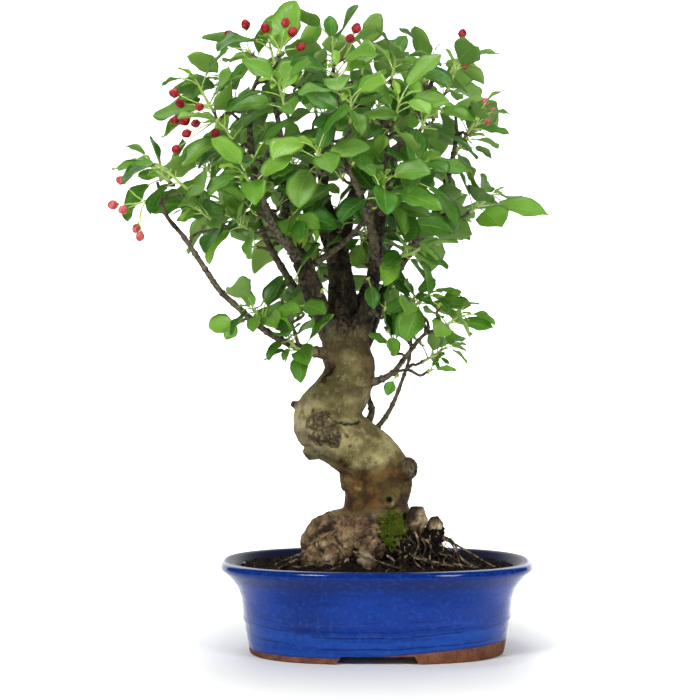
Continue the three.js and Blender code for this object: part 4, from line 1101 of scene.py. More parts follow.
def spur_route(tip, growth):
    """A spur from the nearest branch below tip, which it reaches along growth."""
    tip = array(tip)
    cost = np.linalg.norm(station_places - tip, axis=1)
    cost = cost + 1.2 * np.maximum(0, station_places[:, 2] + 6 - tip[2])
    foot, radius, ahead = stations[int(np.argmin(cost))]
    length = np.linalg.norm(foot - tip)
    bend = foot + 0.35 * (tip - foot) + 0.12 * length * ahead
    neck = tip - growth * min(8, 0.3 * length)
    thick = min(max(0.5 * radius, 1.3), 3)
    return [(*foot, thick), (*bend, (thick + 1.15) / 2), (*neck, 1.15), (*tip, 1.15)]


def inner_spurs(count, draw):
    """Short spurs that stand on the limbs inside the crown, as tip and growth."""
    made = []
    while len(made) < count:
        foot, radius, ahead = stations[draw.randrange(len(stations))]
        side = np.cross(ahead, [draw.gauss(0, 1) for _ in range(3)])
        growth = unit(unit(side) + 0.5 * UP + 0.5 * unit((foot - CROWN_CORE) * [1, 1, 0]))
        tip = foot + growth * (radius + draw.uniform(5, 13))
        apart = min([np.linalg.norm(tip - other) for other, _ in made] + [99])
        if 284 < foot[2] < 456 and radius > 1.7 and apart > 17 and abs(foot[0] + 22) < 82:
            made.append((tip, growth))
    return made


growths = [growth_at(tip) for tip in SHOOT_TIPS]
umbel_growths = [unit(sum(np.subtract(bud, foot) for bud in buds)) for foot, buds in UMBELS]
spurs = [spur_route(tip, growth) for tip, growth in zip(SHOOT_TIPS, growths)]
spurs += [spur_route(foot, growth) for (foot, _), growth in zip(UMBELS, umbel_growths)]
SIDE_SHOOTS = [  # tip, growth, and the leaves' tips with their breadths
    ((-109, -45, 274), (-0.7, 0.2, -0.4), [((-137, -44, 268), 2.1), ((-122, -52, 258), 1.2)]),
    ((6, -30, 282), (0.2, -0.5, 0.6), [((12, -34, 306), 1.2), ((-8, -38, 294), 0.9),
                                       ((26, -34, 276), 1.1)]),
    ((42, -14, 232), (0.6, -0.4, 0.3), [((66, -16, 233), 0.6), ((54, -20, 246), 1.1)]),
    ((13, -24, 250), (0.1, -0.3, 1), [((4, -30, 284), 1.2), ((22, -26, 288), 1.3),
                                      ((-7, -34, 262), 0.9)]),
    ((17, -12, 229), (-0.2, -0.6, -0.2), [((9, -16, 212), 1.3)])]
LATE_SHOOTS = [  # the same, for places that are still bare when all others have grown
    ((-8, -30, 308), (0.3, -0.8, 0.2), [((-3, -40, 283), 1.35)]),
    ((30, -32, 290), (0.1, -0.5, 0.8), [((8, -42, 279), 1.3), ((48, -40, 307), 1.4)]),
    ((50, -34, 284), (0.2, -0.4, 0.9), [((31, -42, 293), 1.4), ((69, -42, 297), 1.4),
                                        ((77, -38, 286), 1.2)]),
    ((9, -24, 266), (0.1, -0.6, -0.2), [((15, -32, 245), 1.2)]),
    ((-50, 8, 388), (0.5, -0.5, 0.4), [((-31, -4, 380), 1.3), ((-38, -2, 404), 1.1)]),
    ((-9, -14, 342), (-0.3, -0.6, 0.2), [((-17, -24, 318), 1.35), ((-26, -22, 334), 1.0)])]


def tips_and_growths(listed):
    return [(array(tip), unit(array(growth))) for tip, growth, _ in listed]


inner = tips_and_growths(SIDE_SHOOTS) + inner_spurs(66, random.Random(31))
late = tips_and_growths(LATE_SHOOTS)
TASSEL_FOOT = array((-64, -33, 356))
BARE_TWIG = [(-64, -26, 253, 1.8), (-69, -38, 270, 1.2), (-78, -42, 294, 0.9), (-72, -42, 313, 0.6)]
extra_spurs = [spur_route(tip, growth) for tip, growth in inner]
extra_spurs.append(spur_route(TASSEL_FOOT, unit(array((0.2, -0.6, 0.8)))))
extra_spurs.append(BARE_TWIG)
late_spurs = [spur_route(tip, growth) for tip, growth in late]
print("spurs:", len(spurs), "and in the scene alone:", len(extra_spurs + late_spurs))

# %% Thin wood
SLENDER = {"lowRight": 0.82, "backRight": 0.72, "lowLeft": 0.84, "backStub": 0.8}


def scaled(route, share, start=0):
    """The route with its radius scaled from the point numbered start on."""
    return [(x, y, z, radius * (share if k >= start else 1))
            for k, (x, y, z, radius) in enumerate(route)]


thin = []
for name, route in BRANCHES.items():
    split = thins_out(route, MELTED)
    slender = scaled(route, SLENDER.get(name, 1), 1)
    if split < 1:
        thin.append((slender, max(0, split - 0.05) if split > 0.05 else 0, 1))
branches = rods("branches", thin + [(route, 0, 1) for route in spurs + extra_spurs + late_spurs],
                spacing=1.5, sides=10, knots=0.36)
close_ends(branches)
twigs = in_mm(branches)
push(branches, 0.22 * bumps(twigs, 3.0, 71, (1, 1, 1.8)) + 0.12 * bumps(twigs, 1.3, 73))
smooth(branches)
twig_bark = Finish("twig_bark")
twig_grain = twig_bark.noise(260, 4, 0.6)
twig = twig_bark.tones(twig_grain, 0.34, 0.64, (42, 37, 29), (102, 95, 76))
twig = twig_bark.coat(twig, (78, 66, 46), twig_bark.noise(70, 3), 0.5, 0.68, 0.6)
twig = twig_bark.coat(twig, (146, 130, 104), twig_bark.cells(520), 0.2, 0.1, 0.6)
twig_bark.bump(twig_grain, 0.6, 0.0007)
branches.data.materials.append(twig_bark.finish(twig, 0.8, 0.2))
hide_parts("trunk_and_branches")
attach(branches, "root")
report(branches)

# %% [markdown]
# ## Roots over the soil
#
# Thin roots have been laid bare by watering: some stand clear of the soil like legs, others run
# across the old wood or curl over the rim of the root ball. They are rods too, paler than the
# bark, and each starts inside the wood and ends inside the soil.

# %% Surface roots
HAIR_ROOTS = [
    [(36, -24, 96, 1.0), (40, -30, 88, 0.9), (37, -36, 79, 0.8), (39, -40, 71, 0.6)],
    [(34, -24, 98, 0.9), (44, -30, 90, 0.8), (43, -38, 80, 0.7), (46, -44, 70, 0.5)],
    [(50, -14, 96, 1.2), (60, -22, 92, 1.0), (66, -28, 82, 0.8), (68, -34, 71, 0.6)],
    [(28, -34, 84, 1.1), (44, -52, 79, 1.0), (66, -50, 76, 0.9), (88, -40, 70, 0.7)],
    [(-60, -30, 84, 1.4), (-72, -40, 80, 1.2), (-82, -42, 76, 1.0), (-88, -34, 69, 0.8)],
    [(-58, -36, 80, 1.3), (-66, -48, 79, 1.2), (-76, -52, 76, 1.0), (-84, -48, 69, 0.8)],
    [(-50, -40, 76, 1.1), (-60, -54, 75, 1.0), (-70, -50, 74, 0.9), (-66, -42, 69, 0.7)],
    [(-30, -44, 74, 1.4), (-36, -54, 73, 1.2), (-48, -58, 71, 1.0), (-56, -54, 68, 0.8)],
    [(8, -34, 82, 1.5), (14, -46, 78, 1.3), (10, -58, 74, 1.0), (2, -64, 69, 0.8)],
    [(40, 20, 88, 1.4), (58, 32, 82, 1.2), (66, 48, 75, 1.0), (60, 58, 69, 0.8)],
    [(-30, 34, 88, 1.5), (-46, 48, 80, 1.2), (-52, 62, 74, 1.0), (-46, 72, 69, 0.8)],
    [(6, 38, 88, 1.4), (2, 54, 80, 1.2), (14, 66, 74, 1.0), (28, 68, 69, 0.8)]]


def loose_roots(count, draw):
    """Hair roots that hang from the old wood on the right and wander down into the soil."""
    made = []
    for _ in range(count):
        x, y, z = draw.uniform(20, 62), draw.uniform(-36, -6), draw.uniform(84, 106)
        route = [(x, y, z, draw.uniform(0.22, 0.5))]
        for k in range(4):
            x, y = x + draw.gauss(2.5, 5), y - draw.uniform(1, 6)
            z = z - (z - 70) * draw.uniform(0.2, 0.5) if k < 3 else 69
            route.append((x, y, z, draw.uniform(0.2, 0.42)))
        made.append(route)
    return made


bare_roots = [scaled(route, 0.36) for route in SURFACE_ROOTS]
hair_roots = [scaled(route, 0.7) for route in HAIR_ROOTS] + loose_roots(24, random.Random(17))
roots = rods("surface_roots", [(route, 0, 1) for route in bare_roots + hair_roots],
             spacing=1.6, sides=8, knots=0.16)
close_ends(roots)
root_points = in_mm(roots)
push(roots, 0.3 * bumps(root_points, 4, 81) + 0.12 * bumps(root_points, 1.6, 83))
smooth(roots)
root_skin = Finish("root_skin")
root_grain = root_skin.noise(190, 4, 0.6)
root_tone = root_skin.tones(root_grain, 0.42, 0.72, (42, 31, 20), (168, 150, 118))
root_tone = root_skin.coat(root_tone, (44, 32, 21), root_skin.noise(60, 3), 0.5, 0.66, 0.7)
root_skin.bump(root_grain, 0.5, 0.0007)
roots.data.materials.append(root_skin.finish(root_tone, 0.78, 0.3))
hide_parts("trunk_and_branches")
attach(roots, "root")
report(roots)

# %% [markdown]
# ## Crumbs of soil
#
# The surface of the soil alone would look like cloth. A few thousand crumbs make it loose: most
# are small dark lumps, some are larger, and a few are pale grit. One lump is modelled, and copies
# of it are turned, stretched and dropped on the surface by ray casting.

# %% One mesh out of many turned and scaled copies
def scattered(name, model, matrices, **marks):
    """Copies of the model, each moved by its matrix, in one mesh. marks are numbers that all
    vertices of a copy share, one per copy."""
    shape = np.array([vertex.co for vertex in model.data.vertices])
    faces = [tuple(face.vertices) for face in model.data.polygons]
    points, polygons = [], []
    for matrix in matrices:
        turned = np.asarray(matrix.to_3x3())
        first = len(points) * len(shape)
        points.append(shape @ turned.T + np.asarray(matrix.translation))
        polygons += [tuple(first + i for i in face) for face in faces]
    mesh = bpy.data.meshes.new(name)
    mesh.from_pydata(np.concatenate(points).tolist(), [], polygons)
    piece = bpy.data.objects.new(name, mesh)
    bpy.context.collection.objects.link(piece)
    for mark, values in marks.items():
        paint(piece, mark, np.repeat(values, len(shape)))
    bpy.data.objects.remove(model)
    return piece


def tree_of(piece):
    """A search tree of the piece's faces, in metres."""
    points = [vertex.co.copy() for vertex in piece.data.vertices]
    return BVHTree.FromPolygons(points, [tuple(face.vertices) for face in piece.data.polygons])


soil.location = place(0, 0, 0)
settle(soil)
soil_tree, wood_tree = tree_of(soil), tree_of(trunk)


def on_soil(x, y):
    """Where a stone dropped at x, y comes to rest, or None if wood is in the way."""
    above = place(x, y, 140)
    spot, normal, _, _ = soil_tree.ray_cast(above, Vector((0, 0, -1)))
    if spot is None:
        return None
    wall, out, _, _ = wood_tree.find_nearest(spot)
    inside = (spot - wall).dot(out) < 0.0005
    return None if inside else (spot, normal)


def on_wood(x, z):
    """The place and normal where a ray from the front meets the wood, or None twice."""
    return wood_tree.ray_cast(place(x, -150, z), Vector((0, 1, 0)))[:2]


def in_pot(draw, margin):
    """A random place on the soil, in millimetres from the middle of the pot."""
    while True:
        x = draw.uniform(-HALF_LENGTH, HALF_LENGTH)
        y = draw.uniform(-HALF_DEPTH, HALF_DEPTH)
        out_x, out_y = abs(x / (HALF_LENGTH - margin)), abs(y / (HALF_DEPTH - margin))
        if out_x ** SQUARENESS + out_y ** SQUARENESS < 1:
            return x, y


# %% Drop the crumbs
deselect()
bpy.ops.mesh.primitive_ico_sphere_add(subdivisions=1, radius=1)
lump = bpy.context.object
for vertex in lump.data.vertices:
    vertex.co *= 1 + 0.35 * noise.noise(vertex.co * 2.3)
draw = random.Random(11)
crumb_places, crumb_tones = [], []
CRUMB_SIZES = (0.8, 1.1, 1.1, 1.5, 1.5, 2.0, 2.6)
PEBBLES = [(-40, 80, 4.2, 3.4), (-25, 77, 3.0, 3.8), (-21, 78, 2.6, 2.2), (-49, 90, 1.6, 2.2)]


def tumbled(size):
    """A lump about this wide, stretched and turned at random."""
    shape = Matrix.Diagonal((*(size * MM * draw.uniform(0.7, 1.3) for _ in range(3)), 1))
    turn = Matrix.Rotation(draw.uniform(0, math.tau), 4,
                           Vector([draw.gauss(0, 1) for _ in range(3)]))
    return turn @ shape


while len(crumb_places) < 3600:
    found = on_soil(*in_pot(draw, edge_step + 2))
    size = draw.choice(CRUMB_SIZES)
    if found is None:
        continue
    lump_form = tumbled(size)
    lift = found[1] * size * MM * draw.uniform(-0.2, 0.5)
    crumb_places.append(Matrix.Translation(found[0] + lift) @ lump_form)
    crumb_tones.append(draw.random())
for _ in range(2000):
    x, z = draw.gauss(41, 14), draw.uniform(68, 102)
    spot, normal = on_wood(x, z)
    if spot is not None and draw.random() < 0.95 - (z - 68) / 45:
        size = draw.uniform(0.7, 2.2)
        crumb_places.append(Matrix.Translation(spot + normal * 0.2 * size * MM) @ tumbled(size))
        crumb_tones.append(0.7 * draw.random())
for x, z, wide, high in PEBBLES:
    shape = Matrix.Diagonal((wide * MM, 0.8 * wide * MM, high * MM, 1))
    middle = on_wood(x, z)[0] + Vector((0, -0.4 * wide * MM, 0))
    crumb_places.append(Matrix.Translation(middle) @ shape)
    crumb_tones.append(1.0)
crumbs = scattered("soil_crumbs", lump, crumb_places, tone=crumb_tones)
earth = Finish("dark_earth")
earth_grain = earth.noise(300, 4, 0.6)
tone = earth.painted("tone")
soil_tone = earth.tones(earth_grain, 0.35, 0.65, (7, 5, 4), (25, 18, 13))
soil_tone = earth.coat(soil_tone, (50, 37, 27), tone, 0.82, 0.95)
soil_tone = earth.coat(soil_tone, (150, 134, 112), tone, 0.985, 0.99)
earth.bump(earth_grain, 0.8, 0.0012)
earth.finish(soil_tone, 0.92, 0.2)
for piece in (soil, crumbs):
    piece.data.materials.append(earth.material)
    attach(piece, "root")
    report(piece)
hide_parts("soil")

# %% [markdown]
# ## Moss
#
# A cushion of bright moss grows in the hollow between the trunk and the cut root, where water
# runs down. A tuft is a handful of tapering blades. It is modelled once, and its copies stand
# close together, square to the wood or the soil under them, with their size dying out towards the
# edge of the patch.

# %% A tuft and where tufts grow
deselect()
bpy.ops.mesh.primitive_cone_add(vertices=3, radius1=0.34, radius2=0, depth=2.0,
                                location=(0, 0, 0.9))
blades = [bpy.context.object]
for turn in (math.tau * i / 5 for i in range(5)):
    bpy.ops.mesh.primitive_cone_add(vertices=3, radius1=0.3, radius2=0, depth=1.7,
                                    rotation=(math.radians(38), 0, turn),
                                    location=(0.5 * math.sin(turn), -0.5 * math.cos(turn), 0.6))
    blades.append(bpy.context.object)


def joined(name, pieces):
    active(pieces[0])
    for piece in pieces:
        piece.select_set(True)
    bpy.ops.object.join()
    made = named(name)
    made.data.name = name
    return made


tuft = joined("tuft", [settle(blade) for blade in blades])
draw = random.Random(5)
moss_places, moss_tones = [], []


def plant_tuft(spot, normal, size):
    lean = normal * 0.8 + Vector((0, 0, 0.6)) + Vector([draw.gauss(0, 0.25) for _ in range(3)])
    turn = lean.normalized().to_track_quat("Z", "Y").to_matrix().to_4x4()
    spin = Matrix.Rotation(draw.uniform(0, math.tau), 4, "Z")
    moss_places.append(Matrix.Translation(spot) @ turn @ spin @ Matrix.Scale(size * MM, 4))
    moss_tones.append(draw.random())


for _ in range(1500):
    x_moss, z_moss, spread = draw.choice(((11, 110, 5), (18, 104, 5.5), (14, 99, 5), (10, 93, 4.5)))
    x, z = draw.gauss(x_moss, spread), draw.gauss(z_moss, spread)
    spot, normal = on_wood(x, z)
    edge = math.hypot((x - 14) / 17, (z - 102) / 19) + 1.1 * noise.noise(Vector((x / 7, 0, z / 7)))
    if spot is not None and edge < 1 and normal.z > -0.5:
        plant_tuft(spot, normal, draw.uniform(0.9, 1.9) * min(1, 1.25 - edge))
for _ in range(420):
    x, y = draw.gauss(16, 16), draw.gauss(-44, 9)
    found = on_soil(x, y)
    patch = noise.noise(Vector((x / 9, y / 9, 2)))
    if found and patch > 0.02:
        plant_tuft(*found, draw.uniform(0.5, 1.0))
moss = scattered("moss", tuft, moss_places, tone=moss_tones)
green = Finish("moss_green")
moss_tone = green.mix(green.painted("tone"), (40, 52, 14), (132, 146, 44))
moss_tone = green.coat(moss_tone, (76, 104, 20), green.noise(160, 3), 0.4, 0.7)
green.bump(green.noise(900, 2), 0.4, 0.0005)
moss.data.materials.append(green.finish(moss_tone, 0.85, 0.15))
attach(moss, "root")
report(moss)

# %% [markdown]
# ## Room for the leaves
#
# Leaves on a real tree seldom cut through each other, because each grows into free space. We keep
# a book of balls: every rod, stalk and blade is written into it, and a new leaf is only accepted
# where its own balls touch none of the others. Leaves that have to reach a certain place, at the
# tips of the crown, are aimed there.


# %% The book of balls
class Room:
    """Balls that stand for what is already placed, kept in a grid of cells."""

    CELL = 12
    AROUND = [(i, j, k) for i in (-1, 0, 1) for j in (-1, 0, 1) for k in (-1, 0, 1)]

    def __init__(self):
        self.balls = {}

    def cell(self, point):
        return tuple(math.floor(value / self.CELL) for value in point)

    def fill(self, points, radius, owner, is_stalk=False):
        for point in np.atleast_2d(points).tolist():
            self.balls.setdefault(self.cell(point), []).append((*point, radius, owner, is_stalk))

    def is_free(self, points, radius, owner, beside_blade, beside_stalk):
        """True where balls of this radius meet none that is there. Beside its owner's own blades
        and stalks a ball needs only these shares of the room."""
        for x, y, z in points.tolist():
            i, j, k = self.cell((x, y, z))
            for di, dj, dk in self.AROUND:
                for bx, by, bz, size, whose, stalk in self.balls.get((i + di, j + dj, k + dk), ()):
                    share = (beside_stalk if stalk else beside_blade) if whose == owner else 1
                    reach = share * (size + radius)
                    if (bx - x) ** 2 + (by - y) ** 2 + (bz - z) ** 2 < reach * reach:
                        return False
        return True


BLADE_ROOM, STALK_ROOM = 2.9, 1.2
BUD_HALF = 4.3
room = Room()


def fill_along(route, steps):
    """Writes balls as thick as the route's wood into the book."""
    for step in range(steps + 1):
        point, radius = through(route, step / steps)
        room.fill(point, radius + 0.5, "wood")


for route in [TRUNK_LOWER, TRUNK_UPPER, *BRANCHES.values(), *spurs]:
    fill_along(route, 12 * (len(route) - 1))
for number, (foot, buds) in enumerate(UMBELS):
    owner = f"bud_umbel_{number + 1:02d}"
    for bud in buds:
        room.fill(bud, BUD_HALF + 1.6, owner)
        stalk = [np.add(foot, np.subtract(bud, foot) * (i / 9)) for i in range(8)]
        room.fill(stalk, STALK_ROOM + 0.4, owner)

# %% [markdown]
# ## The form of a leaf
#
# A crabapple leaf is oval with a short point, on a thin stalk. Seen from the side, stalk and blade
# lie on one arch. So a leaf is described by few numbers: where it starts, its heading, how steeply
# it rises, how much it bends, the two lengths, and how far it rolls to a side. From them any point
# of the blade follows, which lets us lay a flat template along it.


# %% The arch of a leaf
class LeafForm:
    HALF_WIDTH = 0.29  # of its length
    breadth = grown = 1.0

    def __init__(self, foot, heading, rise, bend, stalk, length, roll):
        self.foot, self.heading, self.rise, self.bend = foot, heading, rise, bend
        self.stalk, self.length, self.roll = stalk, length, roll

    def direction(self, u):
        rise = self.rise - self.bend * np.asarray(u, dtype=float)
        flat = np.cos(rise)
        return np.stack([flat * math.cos(self.heading), flat * math.sin(self.heading),
                         np.sin(rise)], axis=-1)

    def middle(self, u):
        """The middle line at u of stalk and blade together."""
        u = np.asarray(u, dtype=float)
        steps = (np.arange(12) + 0.5) / 12
        ways = self.direction(u[..., None] * steps)
        total = self.stalk + self.length
        return self.foot + ways.sum(axis=-2) * (u[..., None] * total / 12)

    def width(self, s):
        s = np.clip(s, 0, 1)
        return self.length * self.HALF_WIDTH * np.sin(np.pi * s ** 0.88).clip(0) ** 0.72

    def frame(self, u):
        """The side and the upper face's normal at u of the middle line."""
        ahead = self.direction(u)
        level = np.array([-math.sin(self.heading), math.cos(self.heading), 0.0])
        upright = np.cross(ahead, level)
        side = level * math.cos(self.roll) + upright * math.sin(self.roll)
        return side, np.cross(ahead, side)

    def at(self, s, t, lift=0.0):
        """The point at s of the blade, t half widths to its left and lift above it."""
        s, t = np.asarray(s, dtype=float), np.asarray(t, dtype=float)
        u = (self.stalk + s * self.length) / (self.stalk + self.length)
        side, normal = self.frame(u)
        out = (t * self.width(s))[..., None] * side
        return self.middle(u) + out + np.asarray(lift, dtype=float)[..., None] * normal

    def blade(self):
        s, t = np.meshgrid([0.1, 0.24, 0.38, 0.52, 0.66, 0.8, 0.92], [-0.9, -0.45, 0, 0.45, 0.9],
                           indexing="ij")
        return self.at(np.append(0.98, s.ravel()), np.append(0, t.ravel()))

    def stalk_points(self):
        return self.middle(np.array([0.25, 0.5, 0.75, 1]) * self.stalk / (self.stalk + self.length))


# %% How a leaf grows, and how a leaf is aimed
def arm_around(growth, turn):
    """An arm square to growth, turned round it."""
    across = unit(np.cross(growth, [1.0, 0.0, 0.0]))
    return across * math.cos(turn) + np.cross(growth, across) * math.sin(turn)


def grown_leaf(foot, growth, turn, lean, shortest, longest, draw):
    """A leaf that turns its upper face out of the crown: it droops where it heads outwards,
    stands up where it heads inwards, and rolls where it heads to a side."""
    way = growth * math.cos(lean) + arm_around(growth, turn) * math.sin(lean)
    heading = math.atan2(way[1], way[0])
    out = unit((foot - CROWN_CORE) * [1, 1, 0])
    outward = out[0] * math.cos(heading) + out[1] * math.sin(heading)
    to_left = out[1] * math.cos(heading) - out[0] * math.sin(heading)
    length = shortest + (longest - shortest) * draw()
    rise = min(1.35, math.asin(way[2]) * 0.7 + 0.25 + 0.5 * max(0, -outward))
    bend = 0.45 + 0.5 * draw() + 0.6 * max(0, outward)
    stalk = length * (0.3 + 0.14 * draw())
    return LeafForm(foot, heading, rise, bend, stalk, length,
                    -0.85 * to_left + (draw() - 0.5) * 0.8)


def aimed_leaf(foot, aim, draw):
    """The leaf from foot whose tip comes to aim, with its face rolled to the front."""
    way = aim - foot
    heading = math.atan2(way[1], way[0])
    bend = 0.5
    reach = np.linalg.norm(way) / (1 - bend ** 2 / 24)
    rise = math.asin(way[2] / np.linalg.norm(way)) + bend / 2
    roll = 0.85 * math.cos(heading) + (draw() - 0.5) * 0.3
    return LeafForm(foot, heading, rise, bend, 0.26 * reach, 0.74 * reach, roll)


def seeded(seed):
    """The same draw of numbers from 0 to 1 for the same seed."""
    state = seed

    def draw():
        nonlocal state
        state = state * 48271 % 2147483647
        return state / 2147483647

    return draw


# %% Grow the leaves of every shoot, first the ones that the frame has
GOLDEN = math.pi * (3 - math.sqrt(5))
LEAF_LENGTHS = (28, 43)


def is_clear(leaf, name, blade_room=BLADE_ROOM, beside=0.8):
    return (room.is_free(leaf.blade(), blade_room, name, beside, 0.6)
            and room.is_free(leaf.stalk_points(), STALK_ROOM, name, 0.7, 0))


def keep(leaf, name, blade_room=BLADE_ROOM):
    room.fill(leaf.blade(), blade_room, name)
    room.fill(leaf.stalk_points()[1:], STALK_ROOM, name, True)
    return leaf


def grow_shoot(number):
    """The stem and the leaves of one shoot, as the frame has them."""
    name = f"leafy_shoot_{number + 1:02d}"
    draw = seeded(1000 + 77 * number)
    tip, growth = array(SHOOT_TIPS[number]), growths[number]
    scale = LOW["scale"] if tip[2] < LOW["below"] else 1
    count = 6 + math.floor(draw() * 3)
    length = 12 + 14 * draw()
    first = math.tau * draw()

    def at(share):
        return tip + growth * (0.3 + share * length) + UP * (0.12 * length * share * share)

    room.fill([at(i / 6) for i in range(7)], STALK_ROOM + 0.4, name, True)
    turns = [first + math.pi / 3 + i * GOLDEN for i in range(count)]
    taken = {}
    for aim in AIMED_LEAVES.get(number + 1, ()):
        way = unit(aim - tip)
        faces = [-2 if i in taken else arm_around(growth, turn) @ way
                 for i, turn in enumerate(turns)]
        taken[int(np.argmax(faces))] = array(aim)
    leaves = []
    for i in range(count):
        share = (i + 0.5) / count
        for k in range(14):
            lean = 1.5 - share + (draw() - 0.5) * 0.1 * k
            swing = turns[i] + (draw() - 0.5) * 0.1 * k
            if i in taken:
                leaf = aimed_leaf(at(share), taken[i] + growth * k, draw)
            else:
                leaf = grown_leaf(at(share), growth, swing, lean, scale * LEAF_LENGTHS[0],
                                  scale * LEAF_LENGTHS[1], draw)
            if is_clear(leaf, name):
                leaves.append(keep(leaf, name))
                break
    return {"name": name, "at": at, "length": length, "leaves": leaves, "young": []}


shoots = [grow_shoot(number) for number in range(len(SHOOT_TIPS))]
print("leaves of the frame:", sum(len(shoot["leaves"]) for shoot in shoots))
for route in extra_spurs:
    fill_along(route, 11)

# %% Broad leaves that give the crown's edge its outline
EDGE_LEAVES = [
    (10, (-188, 12, 447), 1.35), (10, (-180, 8, 428), 1.0), (39, (104, -8, 352), 1.4),
    (22, (-184, -54, 423), 1.2), (33, (-162, -56, 354), 1.1), (22, (-196, -30, 394), 1.2),
    (44, (62, -12, 246), 1.2), (42, (22, -52, 256), 1.2)]
BROADER = {(39, 1): 1.5, (39, 0): 0.85, (9, 0): 0.7, (20, 0): 0.6}  # by shoot and aimed leaf
for (number, place_in_list), breadth in BROADER.items():
    aim = AIMED_LEAVES[number][place_in_list]
    near_aim = min(shoots[number - 1]["leaves"],
                   key=lambda leaf: np.linalg.norm(leaf.middle(1.0) - aim))
    near_aim.breadth = breadth
draw = seeded(53)
for number, aim, breadth in EDGE_LEAVES:
    shoot = shoots[number - 1]
    for k in range(8):
        leaf = aimed_leaf(shoot["at"](0.1 + 0.8 * draw()),
                          array(aim) + 2.0 * k * (draw() - 0.5), draw)
        if is_clear(leaf, shoot["name"], 1.0, 0.3):
            leaf.breadth = breadth
            shoot["leaves"].append(keep(leaf, shoot["name"], 1.6))
            break

# %% Then fill what room is left with more leaves, and with young ones at the stems' ends
def in_outline(leaf, low=330, low_wide=82):
    """True where the leaf's tip stays inside the crown's outline, or hangs on a low branch."""
    x, y, z = leaf.middle(1.0)
    if z < low:
        return abs(x + 22) < low_wide
    wide = 132 if x < -22 else 100
    return abs((x + 22) / wide) ** 2.4 + abs(y / 108) ** 2.4 + abs((z - 395) / 122) ** 2.4 < 1


draw = seeded(4242)
for number, shoot in enumerate(shoots):
    growth, at = growths[number], shoot["at"]
    for k in range(18):
        if len(shoot["leaves"]) > 9:
            break
        share = 0.15 + 0.8 * draw()
        leaf = grown_leaf(at(share), growth, math.tau * draw(), 1.6 - 1.1 * share + 0.3 * draw(),
                          20, 36, draw)
        if in_outline(leaf) and is_clear(leaf, shoot["name"], 2.3, 0.7):
            shoot["leaves"].append(keep(leaf, shoot["name"], 2.3))
    for k in range(14):
        if len(shoot["young"]) > 4:
            break
        leaf = grown_leaf(at(0.9 + 0.1 * draw()), growth, math.tau * draw(), 0.25 + 0.5 * draw(),
                          9, 18, draw)
        if is_clear(leaf, shoot["name"], 1.2, 0.5):
            shoot["young"].append(keep(leaf, shoot["name"], 1.2))


def short_shoot(name, tip, growth, aimed, draw):
    """A shoot that stands on a short spur, with only the leaves that are aimed."""
    def at(share):
        return tip + growth * (0.3 + 5 * share)

    shoot = {"name": name, "at": at, "length": 5, "leaves": [], "young": []}
    for aim, breadth in aimed:
        leaf = aimed_leaf(at(0.5), array(aim), draw)
        leaf.breadth = breadth
        shoot["leaves"].append(keep(leaf, name, 1.9))
    return shoot


for number, (tip, growth) in enumerate(inner):
    aimed = SIDE_SHOOTS[number][2] if number < len(SIDE_SHOOTS) else []
    shoot = short_shoot(f"inner_shoot_{number + 1:02d}", tip, growth, aimed, draw)
    at = shoot["at"]
    for k in range(26):
        if len(shoot["leaves"]) > 4 or aimed:
            break
        leaf = grown_leaf(at(draw()), growth, math.tau * draw(), 0.6 + 0.9 * draw(), 20, 38, draw)
        before_limbs = leaf.middle(1.0)[1] < 0 and leaf.middle(1.0)[2] < 335
        if (in_outline(leaf, 345, 52) and not before_limbs
                and is_clear(leaf, shoot["name"], 1.9, 0.6)):
            shoot["leaves"].append(keep(leaf, shoot["name"], 1.9))
    shoots.append(shoot)
    growths.append(growth)
YOUNGER = {  # leaves at the crown's edge that have not reached their length, by shoot and place
    7: (4,), 10: (3,), 20: (3, 4), 22: (3,), 32: (2,), 35: (1, 4, 6), 41: (3,), 43: (3, 4),
    44: (2, 4, 5)}
for number, places_in_list in YOUNGER.items():
    for place_in_list in places_in_list:
        shoots[number - 1]["leaves"][place_in_list].grown = 0.55
for number, (tip, growth) in enumerate(late):
    shoots.append(short_shoot(f"late_shoot_{number + 1:02d}", tip, growth,
                              LATE_SHOOTS[number][2], draw))
    growths.append(growth)
print("leaves:", sum(len(shoot["leaves"]) for shoot in shoots),
      "and young ones:", sum(len(shoot["young"]) for shoot in shoots))

# %% [markdown]
# ## Modelling one leaf
#
# The blade is modelled flat, once: a grid, extruded to give it an underside, with both rims merged
# so that it is one closed shell with a sharp edge. Its ends are merged to points. The template
# keeps s in Y and t in X, and every leaf of the tree is this template laid along its own arch. The
# underside gets its own place in the UV map, so that the material can make it paler.

# %% The blade's template
ALONG, ACROSS = 14, 6
deselect()
bpy.ops.mesh.primitive_grid_add(x_subdivisions=ACROSS, y_subdivisions=ALONG, size=2)
blade_model = named("blade_model")
for vertex in blade_model.data.vertices:
    vertex.co.y = (vertex.co.y + 1) / 2


def select_corners(piece, holds):
    """Selects, in edit mode, the vertices of the piece whose places meet a condition."""
    bpy.ops.mesh.select_all(action="DESELECT")
    edit = bmesh.from_edit_mesh(piece.data)
    for vertex in edit.verts:
        vertex.select = holds(vertex.co)
    edit.select_flush_mode()
    bmesh.update_edit_mesh(piece.data)


